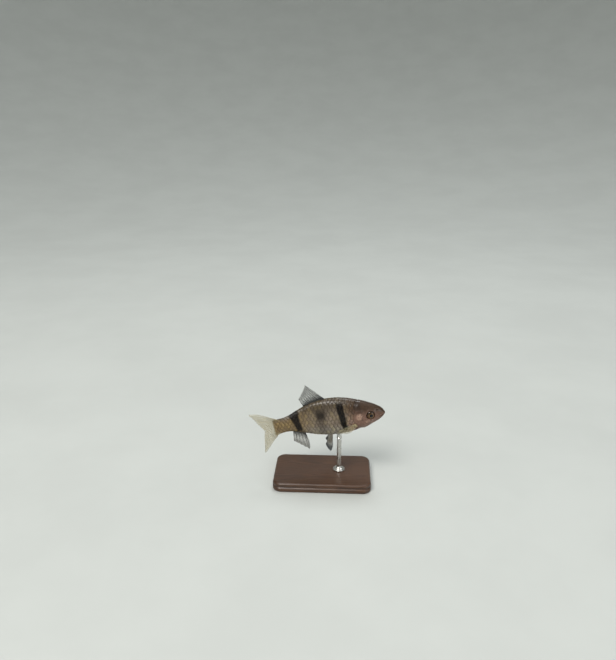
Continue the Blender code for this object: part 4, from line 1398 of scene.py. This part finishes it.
def swept(name, outline, profile, finish, node):
    """A profile carried round a closed outline, and closed by a flat fan at each end.

    Each profile point is an inset from the outline, along its own normal, and a height.
    """
    edge, normal = outline
    inset, height = np.array(profile).T
    ring = len(edge)
    levels = np.broadcast_to(height[:, None, None], (len(inset), ring, 1))
    points = np.concatenate([edge - inset[:, None, None] * normal, levels], axis=-1)
    centre = edge.mean(axis=0)
    points = np.vstack([points.reshape(-1, 3), (*centre, height[0]), (*centre, height[-1])])
    last = len(inset) * ring
    faces = [grid(len(inset), ring, wrap=True), fan(last, np.arange(ring)[::-1]),
             fan(last + 1, last - ring + np.arange(ring))]
    return piece(name, points, faces, finish, None, None, (node,))


def circle(count):
    """Ways out to evenly spaced points of a circle."""
    angle = np.arange(count) * 2 * pi / count
    return np.stack([np.cos(angle), np.sin(angle)], axis=-1)


def rounded_box(length, width, corner, steps=18):
    """Points round a rectangle with round corners, and their outward normals."""
    edge, normal = [], []
    for quarter, (x, y) in enumerate(((1, 1), (-1, 1), (-1, -1), (1, -1))):
        angle = (quarter + np.linspace(0, 1, steps + 1)) * pi / 2
        way = np.stack([np.cos(angle), np.sin(angle)], axis=-1)
        edge.append((x * (length / 2 - corner), y * (width / 2 - corner)) + corner * way)
        normal.append(way)
    return np.vstack(edge), np.vstack(normal)


GROOVE_DEPTH = 0.00020  # of the line round the base's side
LEDGE = 0.00001  # width of the flat lip under the groove, which catches the light
TOP_EDGE = 0.0010  # radius of the base's upper edge


def build_base(stand, finish):
    """The base: a small foot chamfer, a groove round the side and a round upper edge.

    The groove is half a sine wave over a narrow ledge, and the upper edge a quarter of a circle.
    """
    top = stand.thickness
    profile = [(0.0005, 0.0), (0.00022, 0.00004), (0.00004, 0.00022), (0.0, 0.00045),
               (0.0, top * 0.50), (LEDGE, top * 0.50)]
    profile += [(GROOVE_DEPTH * sin(pi * t), top * (0.50 + 0.12 * t))
                for t in np.linspace(0.0, 1.0, 9)[1:]]
    profile += [(TOP_EDGE * (1 - cos(a)), top - TOP_EDGE * (1 - sin(a)))
                for a in np.linspace(0.0, pi / 2, 10)]
    profile += [(0.0016, top), (0.0030, top)]
    outline = rounded_box(stand.length, stand.width, stand.corner)
    return swept("stand_plinth", outline, profile, finish, "stand_base")


def build_rod(stand, sizes, finish):
    """The rod: a stepped foot that flares by a quarter sine, a shaft and a collar of half a one."""
    foot, radius = stand.thickness, stand.rod_radius
    wide = 2.6 * radius
    steps = [(wide - 0.00015, foot - 0.00005), (wide, foot + 0.00012), (wide, foot + 0.00055),
             (wide - 0.00012, foot + 0.00068), (wide * 0.80, foot + 0.00072),
             (wide * 0.78, foot + 0.00095), (wide * 0.74, foot + 0.00112)]
    shares = np.linspace(0.0, 1.0, 9)
    steps += [(between(wide * 0.72, radius, sin(t * pi / 2)),
               foot + 0.00114 + 0.0011 * (1 - cos(t * pi / 2))) for t in shares]
    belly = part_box("stand_rod")[1].z
    collar = belly - 0.0018
    steps += [(radius, collar - 0.0009), (radius, collar)]
    steps += [(radius * (1 + 0.16 * sin(pi * t)), collar + 0.0006 * t) for t in shares]
    steps += [(radius, collar + 0.00065), (radius, belly + 0.0012)]
    way = circle(96)
    at = sizes.forward + (0.5 - stand.rod_place) * sizes.standard_length
    profile = [(wide - r, z) for r, z in steps]
    return swept("stand_post", ((at, 0.0) + wide * way, way), profile, finish,
                 "stand_rod")


SIDES = ((1, "left"), (-1, "right"))


class BARB_OT_skin(bpy.types.Operator):
    """Build the skin in one piece, from the snout to the root of the tail fin"""

    bl_idname = "barb.skin"
    bl_label = "Skin"
    bl_options = {"REGISTER", "UNDO"}

    def execute(self, context):
        build_skin(context.scene.barb_sizes, skin_material(context.scene.barb_colours))
        return {"FINISHED"}


class BARB_OT_scales(bpy.types.Operator):
    """Lay the scales over the skin, with the tubes of the lateral line"""

    bl_idname = "barb.scales"
    bl_label = "Scales"
    bl_options = {"REGISTER", "UNDO"}

    def execute(self, context):
        field = ScaleField()
        draw = np.random.default_rng(7)
        common = field, context.scene.barb_sizes, scale_material(context.scene.barb_colours)
        for side, word in SIDES:
            seats = scale_seats(field, draw)
            build_scales("scales_" + word, side, seats, *common)
            build_pores("lateral_line_" + word, side, seats, *common)
        middle = np.vstack([midline_seats(field, draw, BACK_ROW, pi / 2),
                            midline_seats(field, draw, BELLY_ROW, -pi / 2)])
        build_scales("scales_middle", 1, middle, *common)
        return {"FINISHED"}


class BARB_OT_eyes(bpy.types.Operator):
    """Set both eyes in their sockets"""

    bl_idname = "barb.eyes"
    bl_label = "Eyes"
    bl_options = {"REGISTER", "UNDO"}

    def execute(self, context):
        finish = eye_material(context.scene.barb_colours)
        for side, word in SIDES:
            build_eye("wet_eye_" + word, side, context.scene.barb_sizes, finish, "eye_" + word)
        return {"FINISHED"}


class BARB_OT_middle_fins(bpy.types.Operator):
    """Build the back fin, the anal fin and the tail fin"""

    bl_idname = "barb.middle_fins"
    bl_label = "Middle Fins"
    bl_options = {"REGISTER", "UNDO"}

    def execute(self, context):
        sizes, colours = context.scene.barb_sizes, context.scene.barb_colours
        dark = (0.016, 0.016, 0.015)
        dorsal = fin_material("back_fin", Web(
            colours.smoky_web, (0.065, 0.060, 0.048), 0.28, 0.86, 0.92, 0.15, dark))
        anal = fin_material("anal_fin", Web(
            (0.175, 0.155, 0.115), (0.036, 0.026, 0.020), 0.27, 0.95, 0.85, 0.45, dark))
        tail = fin_material("tail_fin", Web(
            colours.clear_web, (0.33, 0.27, 0.14), 0.30, 0.85, 0.25, 0.0, (0.10, 0.075, 0.035)))
        median_fin("fine_dorsal_fin", DORSAL, DORSAL_SLANT, 1, sizes, dorsal,
                   "dorsal_fin", saw=2)
        median_fin("fine_anal_fin", ANAL, ANAL_SLANT, -1, sizes, anal, "anal_fin")
        tail_fin(sizes, tail)
        return {"FINISHED"}


class BARB_OT_paired_fins(bpy.types.Operator):
    """Build the breast fins and the belly fins"""

    bl_idname = "barb.paired_fins"
    bl_label = "Paired Fins"
    bl_options = {"REGISTER", "UNDO"}

    def execute(self, context):
        sizes, colours = context.scene.barb_sizes, context.scene.barb_colours
        breast = fin_material("breast_fin", Web(
            colours.clear_web, (0.32, 0.25, 0.14), 0.14, 0.66, 0.0, 0.0, (0.10, 0.08, 0.05)))
        belly = fin_material("belly_fin", Web(
            (0.20, 0.19, 0.16), (0.16, 0.14, 0.11), 0.34, 0.88, 0.0, 1.0,
            (0.010, 0.013, 0.018)))
        share = np.linspace(0, 1, FIN_COLUMNS)
        low = np.radians(between(PECTORAL.start, PECTORAL.end, share))
        shoulder = place_at_gill(low) + PECTORAL_BEHIND
        under = np.full(FIN_COLUMNS, radians(PELVIC_TURN))
        place = between(PELVIC.start, PELVIC.end, share)
        for side, word in SIDES:
            paired_fin("fine_pectoral_fin_" + word, PECTORAL, side, shoulder, low, PECTORAL_WAY,
                       sizes, breast, "pectoral_fin_" + word)
            paired_fin("fine_pelvic_fin_" + word, PELVIC, side, place, under, PELVIC_WAY,
                       sizes, belly, "pelvic_fin_" + word)
        return {"FINISHED"}


class BARB_OT_stand(bpy.types.Operator):
    """Build the base and the rod of the display stand"""

    bl_idname = "barb.stand"
    bl_label = "Stand"
    bl_options = {"REGISTER", "UNDO"}

    def execute(self, context):
        stand = context.scene.barb_stand
        build_base(stand, wood_material(stand))
        build_rod(stand, context.scene.barb_sizes, metal_material(stand))
        return {"FINISHED"}


LIGHTS_AIM = (0.0, 0.0, 0.028)
FLOOR_FLAT, FLOOR_BEND, FLOOR_HEIGHT = 0.6, 1.8, 3.0  # radii of flat part and bend, and rise
FLOOR_COLUMNS = 96


def aimed(made, place, way):
    """Puts a lamp or a camera at a place, and turns it to look that way."""
    made.location = place
    made.rotation_euler = Vector(way).to_track_quat("-Z", "Y").to_euler()
    return made


def soft_light(name, place, size, watts, colour):
    """A square area light that faces the fish."""
    light = bpy.data.lights.new(name, "AREA")
    light.size, light.energy, light.color = size, watts, colour
    return aimed(new_object(name, light), place, Vector(LIGHTS_AIM) - Vector(place))


class BARB_OT_stage(bpy.types.Operator):
    """Make the pale floor, the soft light and the camera"""

    bl_idname = "barb.stage"
    bl_label = "Stage"
    bl_options = {"REGISTER", "UNDO"}

    def execute(self, context):
        stage = context.scene.barb_stage
        self.floor(stage)
        self.lights(context, stage)
        self.camera(context, stage)
        return {"FINISHED"}

    def floor(self, stage):
        """A round floor whose far edge curves up: a profile turned about the vertical."""
        bend = np.linspace(0, pi / 2, 20)[1:]
        radius = [0.2, FLOOR_FLAT, *(FLOOR_FLAT + FLOOR_BEND * np.sin(bend))]
        height = [0.0, 0.0, *(FLOOR_BEND * (1 - np.cos(bend))), FLOOR_HEIGHT]
        radius = np.array([*radius, radius[-1]])[:, None, None]
        levels = np.broadcast_to(np.array(height)[:, None, None], (len(radius), FLOOR_COLUMNS, 1))
        rings = np.concatenate([radius * circle(FLOOR_COLUMNS), levels], axis=-1).reshape(-1, 3)
        points = np.vstack([[(0.0, 0.0, 0.0)], rings]) - (0.0, 0.0, 0.00002)
        mesh = bpy.data.meshes.new("floor")
        quads = grid(len(radius), FLOOR_COLUMNS, 1, wrap=True)[:, ::-1].tolist()
        middle = fan(0, 1 + np.arange(FLOOR_COLUMNS)).tolist()
        mesh.from_pydata(points.tolist(), [], middle + quads)
        mesh.shade_smooth()
        mesh.materials.append(floor_material(stage))
        new_object("floor", mesh)

    def lights(self, context, stage):
        key = stage.key_power
        soft_light("key", (-0.34, -0.66, 0.92), 0.50, key, (1.0, 0.97, 0.93))
        soft_light("fill", (0.90, -0.60, 0.50), 0.70, key * 0.25, (0.94, 0.97, 1.0))
        soft_light("rim", (0.12, 0.48, 1.05), 0.40, key * 0.45, (0.97, 0.99, 1.0))
        world = bpy.data.worlds.new("room")
        world.use_nodes = True
        back = world.node_tree.nodes["Background"]
        back.inputs["Color"].default_value = (0.92, 0.95, 0.94, 1.0)
        back.inputs["Strength"].default_value = 0.62
        context.scene.world = world
        context.scene.view_settings.view_transform = "Standard"

    def camera(self, context, stage):
        lens = bpy.data.cameras.new("camera")
        lens.lens, lens.sensor_width = stage.lens, 36.0
        lens.clip_start, lens.clip_end = 0.01, 10.0
        level = cos(stage.dip)
        look = -sin(stage.azimuth) * level, cos(stage.azimuth) * level, -sin(stage.dip)
        context.scene.camera = aimed(new_object("camera", lens), stage.camera_place, look)


BUILDERS = (BARB_OT_skin, BARB_OT_scales, BARB_OT_eyes, BARB_OT_middle_fins,
            BARB_OT_paired_fins, BARB_OT_stand, BARB_OT_stage)
SETTINGS = (("barb_sizes", BarbSizes), ("barb_colours", BarbColours),
            ("barb_stand", BarbStand), ("barb_stage", BarbStage))


class BARB_PT_panel(bpy.types.Panel):
    """Lists the pieces to build and their settings"""

    bl_idname = "BARB_PT_panel"
    bl_label = "Black Ruby Barb"
    bl_space_type = "VIEW_3D"
    bl_region_type = "UI"
    bl_category = "Barb"

    def draw(self, context):
        layout = self.layout
        for builder in BUILDERS:
            layout.operator(builder.bl_idname)
        for name, kind in SETTINGS:
            box = layout.box()
            box.label(text=kind.__doc__.split(".")[0])
            for key in kind.__annotations__:
                box.prop(getattr(context.scene, name), key)


def register():
    for name, kind in SETTINGS:
        bpy.utils.register_class(kind)
        setattr(bpy.types.Scene, name, PointerProperty(type=kind))
    for kind in (*BUILDERS, BARB_PT_panel):
        bpy.utils.register_class(kind)


def unregister():
    for kind in (BARB_PT_panel, *reversed(BUILDERS)):
        bpy.utils.unregister_class(kind)
    for name, kind in reversed(SETTINGS):
        delattr(bpy.types.Scene, name)
        bpy.utils.unregister_class(kind)


def main():
    """Registers the settings and builders, and builds every piece in order."""
    register()
    for builder in BUILDERS:
        group, name = builder.bl_idname.split(".")
        getattr(getattr(bpy.ops, group), name)()


if __name__ == "__main__":
    main()
